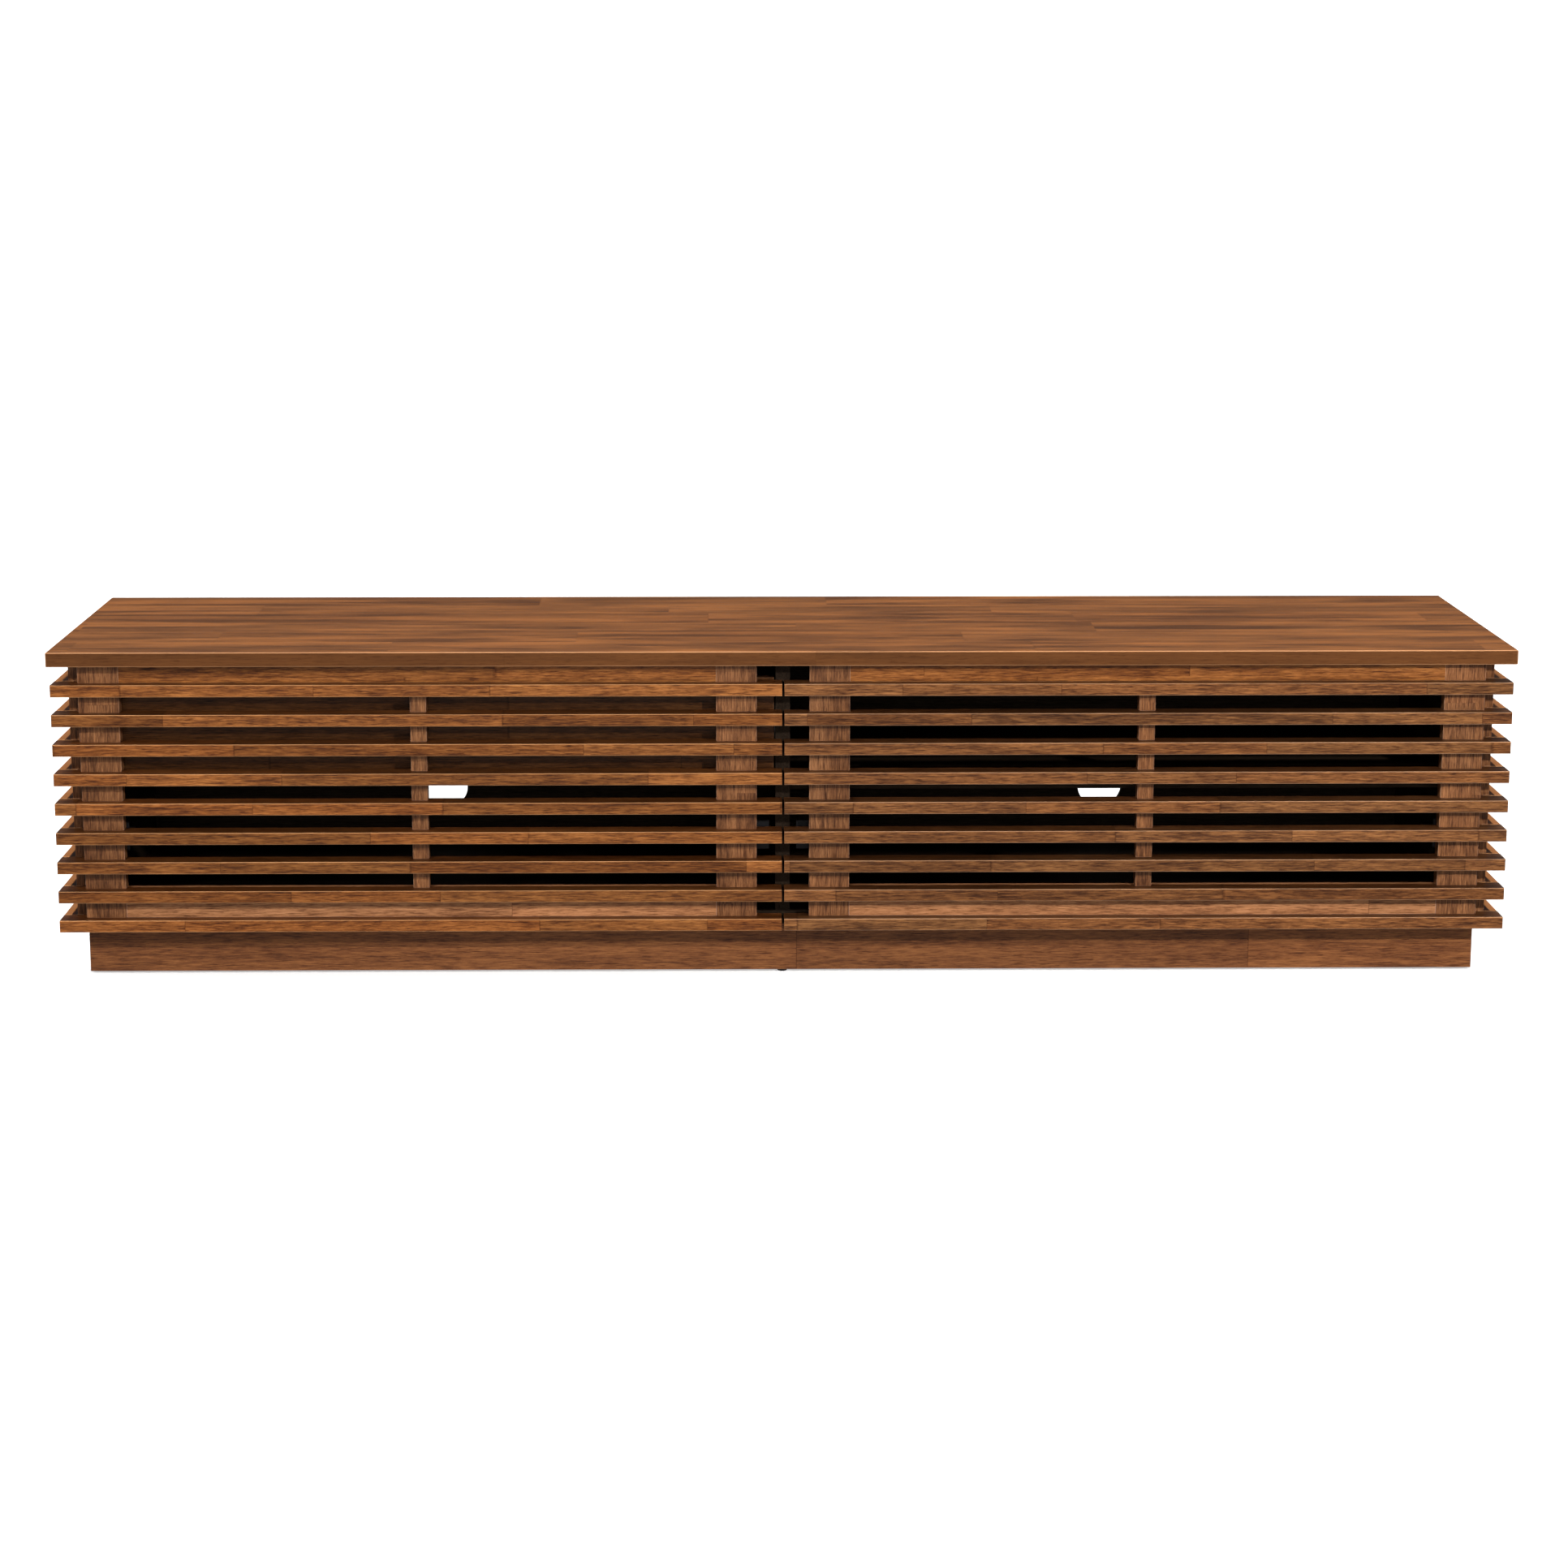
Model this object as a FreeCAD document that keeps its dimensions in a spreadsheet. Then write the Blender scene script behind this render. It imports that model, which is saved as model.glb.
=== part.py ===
"""A low slatted media cabinet with two drop-down flaps, a drawer, a shelf and a recessed plinth.

Frame: millimetres, +Z up, the front faces -Y, the origin is on the floor under the middle of the top.
"""

import FreeCAD, Part
import os

import Sketcher

DOC = FreeCAD.newDocument("media_cabinet")

# Driving dimensions, in millimetres and degrees.
DIMENSIONS = {
    "overall_width": 1800,
    "overall_depth": 460,
    "overall_height": 415,
    "top_thick": 18,
    "arris_radius": 1.5,
    "top_overhang": 3.5,
    "board_thick": 18,
    "carcass_width": 1732,
    "carcass_bottom": 63,
    "carcass_setback": 37,
    "carcass_rear_gap": 4,
    "back_thick": 9,
    "back_inset": 4,
    "cable_hole_radius": 30,
    "cable_hole_spread": 447,
    "cable_hole_offset": 5,
    "cable_hole_height": 156,
    # floor
    "glide_height": 3,
    "glide_radius": 6,
    "glide_inset": 60,
    "plinth_width": 1736,
    "plinth_setback": 40,
    "plinth_rear_inset": 17,
    # slats
    "slat_count": 9,
    "slat_tall": 15,
    "slat_pitch": 37,
    "slat_deep": 31,
    "slat_arris": 1,
    "slat_lap": 6,
    "side_slat_deep": 30.5,
    "side_slat_gap": 2,
    "side_slat_lap": 7,
    "side_batten_thick": 14,
    "side_batten_wide": 50,
    # flaps
    "flap_gap": 3,
    "flap_top_gap": 2,
    "frame_setback": 16,
    "frame_thick": 18,
    "stile_wide": 50,
    "stile_inset": 31,
    "mullion_wide": 20,
    # hinges
    "hinge_axis_deep": 35.5,
    "hinge_axis_up": 58.5,
    "hinge_spread": 330,
    "leaf_thick": 1.2,
    "leaf_wide": 60,
    "knuckle_count": 5,
    "door_leaf_tall": 27,
    "cabinet_leaf_tall": 18,
    "knuckle_radius": 4,
    "knuckle_gap": 0.4,
    "pin_radius": 2,
    "pin_play": 0.05,
    "leaf_root": 4.4,
    # stays
    "stay_reach": 120,
    "stay_pivot_lean": 4.8,
    "stay_stud_lead": 14,
    "stay_travel": 189.2,
    "stay_thick": 2.5,
    "stay_half_wide": 8,
    "stay_slot_start": 28,
    "stay_slot_spare": 1,
    "stay_slot_radius": 3.3,
    "stay_play": 0.4,
    "stay_wall_gap": 5.1,
    "rivet_radius": 2.5,
    "rivet_play": 0.06,
    "rivet_head_radius": 4.5,
    "stud_radius": 3,
    "stud_collar_radius": 5,
    "stud_head_radius": 6,
    "head_thick": 1,
    "bracket_thick": 2,
    "bracket_tall": 36,
    "bracket_tab_half": 8,
    "bracket_foot_outer": 28,
    "bracket_foot_inner": 44,
    # catches
    "catch_wide": 46,
    "catch_deep": 14,
    "catch_tall": 18,
    "catch_spread": 330,
    "strike_thick": 1.5,
    "strike_tall": 14,
    "strike_gap": 0.5,
    # drawer
    "drawer_front_bottom": 257,
    "drawer_front_top": 376,
    "drawer_gap": 2,
    "drawer_wall": 12,
    "drawer_wall_bottom": 268,
    "drawer_wall_tall": 98,
    "drawer_base_thick": 6,
    "drawer_long": 350,
    "slide_width": 13,
    "slide_bottom": 294,
    "slide_tall": 45,
    "slide_sheet": 1.2,
    "slide_play": 0.8,
    "slide_middle_inset": 3.2,
    "slide_drawer_inset": 6.4,
    # shelf
    "shelf_bottom": 231,
    "shelf_front_setback": 57,
    "shelf_gap": 1,
    "shelf_pin_radius": 2.5,
    "shelf_pin_depth": 9,
    "shelf_pin_inset": 40,
}

# Places that follow from the driving dimensions, as expressions on them.
TOP_UNDER = "(dims.overall_height - dims.top_thick)"
SLAT_FRONT = "(-dims.overall_depth / 2 + dims.top_overhang)"
CARCASS_FRONT = f"({SLAT_FRONT} + dims.carcass_setback)"
CARCASS_REAR = "(dims.overall_depth / 2 - dims.carcass_rear_gap)"
CARCASS_DEEP = f"({CARCASS_REAR} - {CARCASS_FRONT})"
CARCASS_HALF = "(dims.carcass_width / 2)"
BOTTOM_TOP = "(dims.carcass_bottom + dims.board_thick)"
INSIDE_TALL = f"({TOP_UNDER} - {BOTTOM_TOP})"
BAY_OUTER = f"({CARCASS_HALF} - dims.board_thick)"
BAY_INNER = "(dims.board_thick / 2)"
BAY_WIDE = f"({BAY_OUTER} - {BAY_INNER})"
BACK_FRONT = f"({CARCASS_REAR} - dims.back_inset - dims.back_thick)"
SLAT_OUTER = "(dims.overall_width / 2 - dims.top_overhang)"
FLAP_WIDE = f"({SLAT_OUTER} - dims.flap_gap / 2)"
FLAP_MIDDLE = f"(dims.flap_gap / 2 + {FLAP_WIDE} / 2)"
FLAP_REAR = f"({SLAT_FRONT} + dims.frame_setback + dims.frame_thick)"
FLAP_TALL = f"({TOP_UNDER} - dims.flap_top_gap - dims.carcass_bottom)"
STILE_DADO = "(dims.slat_deep - dims.slat_lap - dims.frame_setback)"
HINGE_Y = f"({SLAT_FRONT} + dims.hinge_axis_deep)"
HINGE_Z = "dims.hinge_axis_up"
PIVOT_Y = f"({HINGE_Y} + dims.stay_reach * sin(dims.stay_pivot_lean))"
PIVOT_Z = f"({HINGE_Z} + dims.stay_reach * cos(dims.stay_pivot_lean))"
STUD_LEAN = "(dims.stay_pivot_lean + dims.stay_stud_lead)"
STUD_Y = f"({HINGE_Y} + dims.stay_reach * sin({STUD_LEAN}))"
STUD_Z = f"({HINGE_Z} + dims.stay_reach * cos({STUD_LEAN}))"
STAY_SLOPE = "(dims.stay_pivot_lean + dims.stay_stud_lead / 2)"
SIDES = (("left", -1), ("right", 1))


def make_sheet():
    """The spreadsheet that holds every driving dimension under its alias."""
    sheet = DOC.addObject("Spreadsheet::Sheet", "dims")
    for row, (alias, value) in enumerate(DIMENSIONS.items(), start=1):
        sheet.set(f"A{row}", alias)
        sheet.set(f"B{row}", str(value))
        sheet.setAlias(f"B{row}", alias)
    DOC.recompute()
    return sheet


def bind(thing, **expressions):
    """Binds properties of one object to expressions; double underscores stand for dots."""
    for name, expression in expressions.items():
        thing.setExpression(name.replace("__", "."), str(expression))
    return thing


def put(thing, x=0, y=0, z=0):
    """Places an object at a point given by three expressions."""
    for letter, expression in zip("xyz", (x, y, z)):
        thing.setExpression(f".Placement.Base.{letter}", str(expression))
    return thing


def box(name, size, corner):
    """A box from its lowest corner, with its size and corner as expressions."""
    thing = DOC.addObject("Part::Box", name)
    bind(thing, Length=size[0], Width=size[1], Height=size[2])
    return put(thing, *corner)


def rod(name, radius, long, start):
    """A cylinder along +X from its start point."""
    thing = DOC.addObject("Part::Cylinder", name)
    bind(thing, Radius=radius, Height=long)
    thing.Placement.Rotation = FreeCAD.Rotation(FreeCAD.Vector(0, 1, 0), 90)
    return put(thing, *start)


def post(name, radius, tall, foot):
    """A cylinder along +Z from its foot."""
    thing = DOC.addObject("Part::Cylinder", name)
    bind(thing, Radius=radius, Height=tall)
    return put(thing, *foot)


def fuse(name, *shapes):
    thing = DOC.addObject("Part::MultiFuse", name)
    thing.Shapes = list(shapes)
    return thing


def cut(name, base, *tools):
    """The base less every tool."""
    for count, tool in enumerate(tools):
        less = DOC.addObject("Part::Cut", f"{name}_cut{count}" if count + 1 < len(tools) else name)
        less.Base = base
        less.Tool = tool
        base = less
    return base


def mirrored(name, source):
    """The same shape on the other side of the middle plane X = 0."""
    thing = DOC.addObject("Part::Mirroring", name)
    thing.Source = source
    thing.Normal = FreeCAD.Vector(1, 0, 0)
    return thing


def group(name, *things):
    """Several separate solids in one node."""
    thing = DOC.addObject("Part::Compound", name)
    thing.Links = list(things)
    thing.Label = name
    return thing


def signed(side, expression):
    return f"({expression})" if side > 0 else f"(-({expression}))"


def plane_of(body, role):
    return next(f for f in body.Origin.OriginFeatures if f.Role == role)


def new_sketch(body, name, role):
    sketch = body.newObject("Sketcher::SketchObject", name)
    sketch.AttachmentSupport = [(plane_of(body, role), "")]
    sketch.MapMode = "FlatFace"
    return sketch


def add_outline(sketch, corners):
    """A closed outline of straight lines, drawn through any distinct points and then bound to its corners.

    Each corner is a pair of expressions for its distances from the origin.
    """
    first = sketch.GeometryCount
    guess = [(1.0 + 7 * i, 2.0 + 3 * i * i) for i in range(len(corners))]
    for i in range(len(corners)):
        start = FreeCAD.Vector(*guess[i], 0)
        end = FreeCAD.Vector(*guess[(i + 1) % len(corners)], 0)
        sketch.addGeometry(Part.LineSegment(start, end))
    for i in range(len(corners)):
        after = first + (i + 1) % len(corners)
        sketch.addConstraint(Sketcher.Constraint("Coincident", first + i, 2, after, 1))
    for i, (x, y) in enumerate(corners):
        for kind, expression, at in (("DistanceX", x, guess[i][0]), ("DistanceY", y, guess[i][1])):
            number = sketch.addConstraint(Sketcher.Constraint(kind, -1, 1, first + i, 1, at))
            name = f"{kind}_{first + i}"
            sketch.renameConstraint(number, name)
            sketch.setExpression(f"Constraints.{name}", str(expression))


def add_rectangle(sketch, x0, y0, x1, y1):
    add_outline(sketch, [(x0, y0), (x1, y0), (x1, y1), (x0, y1)])


def add_circle(sketch, x, y, radius):
    number = sketch.addGeometry(Part.Circle(FreeCAD.Vector(1, 1, 0), FreeCAD.Vector(0, 0, 1), 1.0))
    for kind, expression in (("DistanceX", x), ("DistanceY", y)):
        index = sketch.addConstraint(Sketcher.Constraint(kind, -1, 1, number, 3, 1.0))
        sketch.renameConstraint(index, f"{kind}_{number}")
        sketch.setExpression(f"Constraints.{kind}_{number}", str(expression))
    index = sketch.addConstraint(Sketcher.Constraint("Radius", number, 1.0))
    sketch.renameConstraint(index, f"Radius_{number}")
    sketch.setExpression(f"Constraints.Radius_{number}", str(radius))


def new_body(name):
    body = DOC.addObject("PartDesign::Body", name)
    body.Label = name
    return body


def add_pad(body, sketch, length, backwards=False):
    pad = body.newObject("PartDesign::Pad", f"{sketch.Name}_pad")
    pad.Profile = sketch
    pad.Reversed = backwards
    pad.setExpression("Length", str(length))
    sketch.Visibility = False
    return pad


def add_pocket(body, sketch, depth, backwards=True):
    """A pocket of the given depth. The volume has to fall, or the direction is wrong."""
    DOC.recompute()
    before = body.Shape.Volume
    pocket = body.newObject("PartDesign::Pocket", f"{sketch.Name}_pocket")
    pocket.Profile = sketch
    pocket.Reversed = backwards
    pocket.setExpression("Length", str(depth))
    DOC.recompute()
    if not body.Shape.Volume < before - 1:
        raise RuntimeError(f"{sketch.Name} cuts nothing")
    return pocket


def round_edges(body, radius, wanted):
    """A fillet along the edges whose middle point and direction pass the test."""
    DOC.recompute()
    base = body.Tip
    chosen = []
    for number, edge in enumerate(base.Shape.Edges, start=1):
        middle = edge.valueAt((edge.FirstParameter + edge.LastParameter) / 2)
        along = edge.tangentAt(edge.FirstParameter)
        if wanted(middle, along):
            chosen.append(f"Edge{number}")
    fillet = body.newObject("PartDesign::Fillet", f"{body.Name}_round")
    fillet.Base = (base, chosen)
    fillet.setExpression("Radius", str(radius))
    return fillet


def board(name, size, corner):
    """A plain board as a body: a rectangle in plan, padded to its height."""
    body = new_body(name)
    plan = new_sketch(body, f"{name}_plan", "XY_Plane")
    add_rectangle(plan, 0, 0, size[0], size[1])
    add_pad(body, plan, size[2])
    return put(body, *corner)


def near(a, b):
    return abs(a - b) < 0.01


def make_top():
    wide, deep = "dims.overall_width", "dims.overall_depth"
    body = board("top_panel", (wide, deep, "dims.top_thick"), (f"-{wide} / 2", f"-{deep} / 2", TOP_UNDER))
    round_edges(body, "dims.arris_radius", lambda middle, along: True)
    return body


def make_carcass():
    """The bottom and the two side panels, all square boards."""
    bottom = board(
        "bottom_panel",
        ("dims.carcass_width", CARCASS_DEEP, "dims.board_thick"),
        (f"-{CARCASS_HALF}", CARCASS_FRONT, "dims.carcass_bottom"),
    )
    upright = ("dims.board_thick", CARCASS_DEEP, INSIDE_TALL)
    left = board("left_side_panel", upright, (f"-{CARCASS_HALF}", CARCASS_FRONT, BOTTOM_TOP))
    right = board("right_side_panel", upright, (BAY_OUTER, CARCASS_FRONT, BOTTOM_TOP))
    add_shelf_pin_holes(right, 0)
    return [bottom, left, right]


def shelf_pin_places():
    """Depth of the front and the rear shelf pins behind the carcass front, and their height."""
    front = "(dims.shelf_front_setback - dims.carcass_setback + dims.shelf_pin_inset)"
    rear = f"({BACK_FRONT} - {CARCASS_FRONT} - dims.shelf_pin_inset)"
    up = f"(dims.shelf_bottom - dims.shelf_pin_radius - {BOTTOM_TOP})"
    return (front, rear), up


def add_shelf_pin_holes(body, start):
    """Two blind holes in the face towards the right bay; start is 0 or the board's thickness."""
    deeps, up = shelf_pin_places()
    face = new_sketch(body, f"{body.Name}_pin_holes", "YZ_Plane")
    for deep in deeps:
        add_circle(face, deep, up, "dims.shelf_pin_radius")
    if start:
        face.setExpression(".AttachmentOffset.Base.z", str(start))
    add_pocket(body, face, "dims.shelf_pin_depth", backwards=not start)


def make_partition():
    deep = f"({BACK_FRONT} - {CARCASS_FRONT})"
    size = ("dims.board_thick", deep, INSIDE_TALL)
    body = board("centre_partition", size, (f"-{BAY_INNER}", CARCASS_FRONT, BOTTOM_TOP))
    add_shelf_pin_holes(body, "dims.board_thick")
    return body


def make_back():
    """The back panel has a round cable hole behind each bay, both a little left of the bay's mirror position."""
    body = new_body("back_panel")
    face = new_sketch(body, "back_panel_face", "XZ_Plane")
    half = BAY_OUTER
    add_rectangle(face, f"-{half}", 0, half, INSIDE_TALL)
    for _, side in SIDES:
        x = f"{signed(side, 'dims.cable_hole_spread')} - dims.cable_hole_offset"
        add_circle(face, x, f"dims.cable_hole_height - {BOTTOM_TOP}", "dims.cable_hole_radius")
    add_pad(body, face, "dims.back_thick", backwards=True)
    return put(body, 0, BACK_FRONT, BOTTOM_TOP)


def make_plinth():
    wide, thick = "dims.plinth_width", "dims.board_thick"
    tall = "(dims.carcass_bottom - dims.glide_height)"
    front = f"({SLAT_FRONT} + dims.plinth_setback)"
    rear = f"({CARCASS_REAR} - dims.plinth_rear_inset)"
    up = "dims.glide_height"
    long = f"({rear} - {front} - 2 * {thick})"
    half = f"({wide} / 2)"
    pieces = [
        board("plinth_front", (wide, thick, tall), (f"-{half}", front, up)),
        board("plinth_rear", (wide, thick, tall), (f"-{half}", f"{rear} - {thick}", up)),
    ]
    end = box("plinth_end", (thick, long, tall), (f"-{half}", f"{front} + {thick}", up))
    pieces.append(group("plinth_ends", end, mirrored("plinth_end_right", end)))
    glides = []
    for row, middle_y, corner_y in (
        ("front", f"{front} + {thick} / 2", f"{front} + dims.glide_inset"),
        ("rear", f"{rear} - {thick} / 2", f"{rear} - dims.glide_inset"),
    ):
        middle = post(f"glide_{row}_middle", "dims.glide_radius", up, (0, middle_y, 0))
        corner_x = f"-{half} + {thick} / 2"
        corner = post(f"glide_{row}_corner", "dims.glide_radius", up, (corner_x, corner_y, 0))
        glides += [middle, corner, mirrored(f"glide_{row}_other", corner)]
    pieces.append(group("floor_glides", *glides))
    return pieces


def slat_bottom(number):
    """Height of a slat's underside; slat 1 is the highest."""
    return f"(dims.carcass_bottom + (dims.slat_count - {number}) * dims.slat_pitch)"


def frame_spans():
    """Start and end, along a flap from its end, of the outer stile, the mullion and the inner stile."""
    stile_end = "(dims.stile_inset + dims.stile_wide)"
    middle = f"({FLAP_WIDE} / 2)"
    return (
        ("dims.stile_inset", stile_end),
        (f"({middle} - dims.mullion_wide / 2)", f"({middle} + dims.mullion_wide / 2)"),
        (f"({FLAP_WIDE} - {stile_end})", f"({FLAP_WIDE} - dims.stile_inset)"),
    )


def flap_start(side):
    """X of a flap's left end."""
    return f"(-{SLAT_OUTER})" if side < 0 else "(dims.flap_gap / 2)"


def make_flap_slats(word, side):
    """Nine slats, each lapped over the frame. Those that meet a rail are lapped along its whole length."""
    slats = []
    count = DIMENSIONS["slat_count"]
    spans = frame_spans()
    for number in range(1, count + 1):
        name = f"{word}_flap_slat_{number}"
        body = new_body(name)
        plan = new_sketch(body, f"{name}_plan", "XY_Plane")
        add_rectangle(plan, 0, 0, FLAP_WIDE, "dims.slat_deep")
        add_pad(body, plan, "dims.slat_tall")
        laps = new_sketch(body, f"{name}_laps", "XY_Plane")
        on_rail = number in (1, count - 1, count)
        cuts = [(spans[0][0], spans[2][1])] if on_rail else spans
        for start, end in cuts:
            add_rectangle(laps, start, "dims.slat_deep - dims.slat_lap", end, "dims.slat_deep")
        add_pocket(body, laps, "dims.slat_tall")
        round_edges(body, "dims.slat_arris", lambda middle, along: near(middle.y, 0) and near(along.z, 0))
        slats.append(put(body, flap_start(side), SLAT_FRONT, slat_bottom(number)))
    return slats


def dadoed_upright(name, size, corner, first, last, lap):
    """An upright with a dado in its front face for each slat from the first to the last, top down."""
    base = box(f"{name}_blank", size, corner)
    dadoes = []
    for number in range(first, last + 1):
        place = (corner[0], corner[1], slat_bottom(number))
        dadoes.append(box(f"{name}_dado_{number}", (size[0], lap, "dims.slat_tall"), place))
    return cut(name, base, fuse(f"{name}_dadoes", *dadoes))


def make_flap_frame(word, side):
    """Two stiles and a mullion in one node, and the two rails."""
    count = DIMENSIONS["slat_count"]
    spans = frame_spans()
    start = flap_start(side)
    front = f"({SLAT_FRONT} + dims.frame_setback)"
    rail_top = slat_bottom(1)
    rail_bottom = f"({slat_bottom(count - 1)} + dims.slat_tall)"
    uprights = []
    for index, part in enumerate(("stile_a", "mullion", "stile_b")):
        low, high = spans[index]
        name = f"{word}_flap_{part}"
        is_mullion = part == "mullion"
        foot = rail_bottom if is_mullion else "dims.carcass_bottom"
        tall = f"({rail_top} - {rail_bottom})" if is_mullion else FLAP_TALL
        first, last = (2, count - 2) if is_mullion else (1, count)
        size = (f"({high} - {low})", "dims.frame_thick", tall)
        corner = (f"{start} + {low}", front, foot)
        uprights.append(dadoed_upright(name, size, corner, first, last, STILE_DADO))
    stiles = group(f"{word}_flap_stiles", uprights[0], uprights[2])
    uprights[1].Label = f"{word}_flap_mullion"
    long = f"({spans[2][0]} - {spans[0][1]})"
    flap_top = f"(dims.carcass_bottom + {FLAP_TALL})"
    rails = [
        make_rail(
            f"{word}_flap_top_rail",
            long,
            (0, f"{flap_top} - {rail_top}"),
            ("dims.slat_tall", f"{flap_top} - {rail_top}"),
            (f"{start} + {spans[0][1]}", front, rail_top),
        ),
        make_rail(
            f"{word}_flap_bottom_rail",
            long,
            (0, f"{rail_bottom} - dims.carcass_bottom"),
            ("dims.slat_tall", "dims.slat_pitch"),
            (f"{start} + {spans[0][1]}", front, "dims.carcass_bottom"),
        ),
    ]
    return [stiles, uprights[1], *rails]


def make_rail(name, long, whole, tongue, corner):
    """A rail in section: a back plate of the whole height and a tongue that fills the gap between slats."""
    body = new_body(name)
    section = new_sketch(body, f"{name}_section", "YZ_Plane")
    low, high = whole
    tongue_low, tongue_high = tongue
    plate, back = STILE_DADO, "dims.frame_thick"
    corners = [(plate, low), (back, low), (back, high), (plate, high)]
    if tongue_high == high:
        corners[3] = (0, high)
        corners += [(0, tongue_low), (plate, tongue_low)]
    else:
        corners += [(plate, tongue_high), (0, tongue_high), (0, tongue_low), (plate, tongue_low)]
    add_outline(section, corners)
    add_pad(body, section, long)
    return put(body, *corner)


def make_side_slats(word, side):
    """Nine slats along one end of the carcass and the two upright battens that carry them."""
    count = DIMENSIONS["slat_count"]
    front = f"({SLAT_FRONT} + dims.slat_deep + dims.side_slat_gap)"
    long = f"(dims.overall_depth / 2 - dims.top_overhang - {front})"
    lap, wide = "dims.side_slat_lap", "dims.side_batten_wide"
    inner = f"-({CARCASS_HALF} + {lap})"
    batten_y = (front, f"({front} + {long} - {wide})")
    slats = []
    for number in range(1, count + 1):
        size = ("dims.side_slat_deep", long, "dims.slat_tall")
        blank = box(f"{word}_side_slat_{number}_blank", size, (f"-{SLAT_OUTER}", front, slat_bottom(number)))
        laps = []
        for i, y in enumerate(batten_y):
            place = (inner, y, slat_bottom(number))
            laps.append(box(f"{word}_side_slat_{number}_lap_{i}", (lap, wide, "dims.slat_tall"), place))
        slats.append(cut(f"{word}_side_slat_{number}", blank, *laps))
    battens = []
    thick = "dims.side_batten_thick"
    tall = f"({TOP_UNDER} - dims.carcass_bottom)"
    for i, y in enumerate(batten_y):
        corner = (f"-({CARCASS_HALF} + {thick})", y, "dims.carcass_bottom")
        blank = box(f"{word}_batten_{i}_blank", (thick, wide, tall), corner)
        dadoes = [
            box(
                f"{word}_batten_{i}_dado_{number}",
                (f"({thick} - {lap})", wide, "dims.slat_tall"),
                (corner[0], y, slat_bottom(number)),
            )
            for number in range(1, count + 1)
        ]
        battens.append(cut(f"{word}_batten_{i}", blank, fuse(f"{word}_batten_{i}_dadoes", *dadoes)))
    if side > 0:
        slats = [mirrored(f"{thing.Name}_mirrored", thing) for thing in slats]
        battens = [mirrored(f"{thing.Name}_mirrored", thing) for thing in battens]
    return group(f"{word}_side_slats", *slats), battens


def hinge_knuckles(name, places, start, leaf_y):
    """Knuckles on the hinge axis at the given places along the leaf, each with its tab to the plate."""
    pitch = "(dims.leaf_wide / dims.knuckle_count)"
    long = f"({pitch} - dims.knuckle_gap)"
    solids = []
    for place in places:
        x = f"{start} + {place} * {pitch} + dims.knuckle_gap / 2"
        solids.append(rod(f"{name}_knuckle_{place}", "dims.knuckle_radius", long, (x, HINGE_Y, HINGE_Z)))
        size = (long, "dims.leaf_thick", "dims.leaf_root")
        solids.append(box(f"{name}_tab_{place}", size, (x, leaf_y, HINGE_Z)))
    return solids


def make_leaf(name, centre, places, leaf_y, tall, hole):
    """One hinge leaf: a plate, its knuckles and the bore for the pin."""
    start = f"({centre} - dims.leaf_wide / 2)"
    size = ("dims.leaf_wide", "dims.leaf_thick", tall)
    plate = box(f"{name}_plate", size, (start, leaf_y, f"{HINGE_Z} + dims.leaf_root"))
    whole = fuse(f"{name}_whole", plate, *hinge_knuckles(name, places, start, leaf_y))
    bore = rod(f"{name}_bore", hole, "dims.leaf_wide", (start, HINGE_Y, HINGE_Z))
    return cut(name, whole, bore)


def hinge_centres(side):
    middle = signed(side, FLAP_MIDDLE)
    return (f"({middle} - dims.hinge_spread)", middle, f"({middle} + dims.hinge_spread)")


def make_hinges():
    """Three butt hinges under each flap. Their pins are pressed into the cabinet leaves."""
    cabinet, pins, pieces = [], [], []
    cabinet_y = f"({CARCASS_FRONT} - dims.leaf_thick)"
    door_bore = "(dims.pin_radius + dims.pin_play)"
    for word, side in SIDES:
        door = []
        for number, centre in enumerate(hinge_centres(side)):
            name = f"{word}_cabinet_leaf_{number}"
            tall = "dims.cabinet_leaf_tall"
            cabinet.append(make_leaf(name, centre, (0, 2, 4), cabinet_y, tall, "dims.pin_radius"))
            name = f"{word}_door_leaf_{number}"
            door.append(make_leaf(name, centre, (1, 3), FLAP_REAR, "dims.door_leaf_tall", door_bore))
            start = (f"{centre} - dims.leaf_wide / 2", HINGE_Y, HINGE_Z)
            pins.append(rod(f"{word}_pin_{number}", "dims.pin_radius", "dims.leaf_wide", start))
        pieces.append(group(f"{word}_flap_hinge_leaves", *door))
    return [group("hinge_cabinet_leaves", *cabinet), group("hinge_pins", *pins), *pieces]


def stay_layers():
    """Distances of the stay's layers from the wall of the bay that it lies against."""
    arm_outer = "dims.stay_wall_gap"
    arm_inner = "(dims.stay_wall_gap + dims.stay_thick)"
    return {
        "head_outer": f"({arm_outer} - dims.stay_play - dims.head_thick)",
        "collar": f"({arm_outer} - dims.stay_play)",
        "arm_outer": arm_outer,
        "arm_inner": arm_inner,
        "tab": f"({arm_inner} + dims.stay_play)",
    }


def from_wall(wall, distance, thick):
    """X of the lower side of a layer that starts at a distance from one wall of the left bay."""
    if wall == "outer":
        return f"(-{BAY_OUTER} + {distance})"
    return f"(-{BAY_INNER} - {distance} - {thick})"


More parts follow.
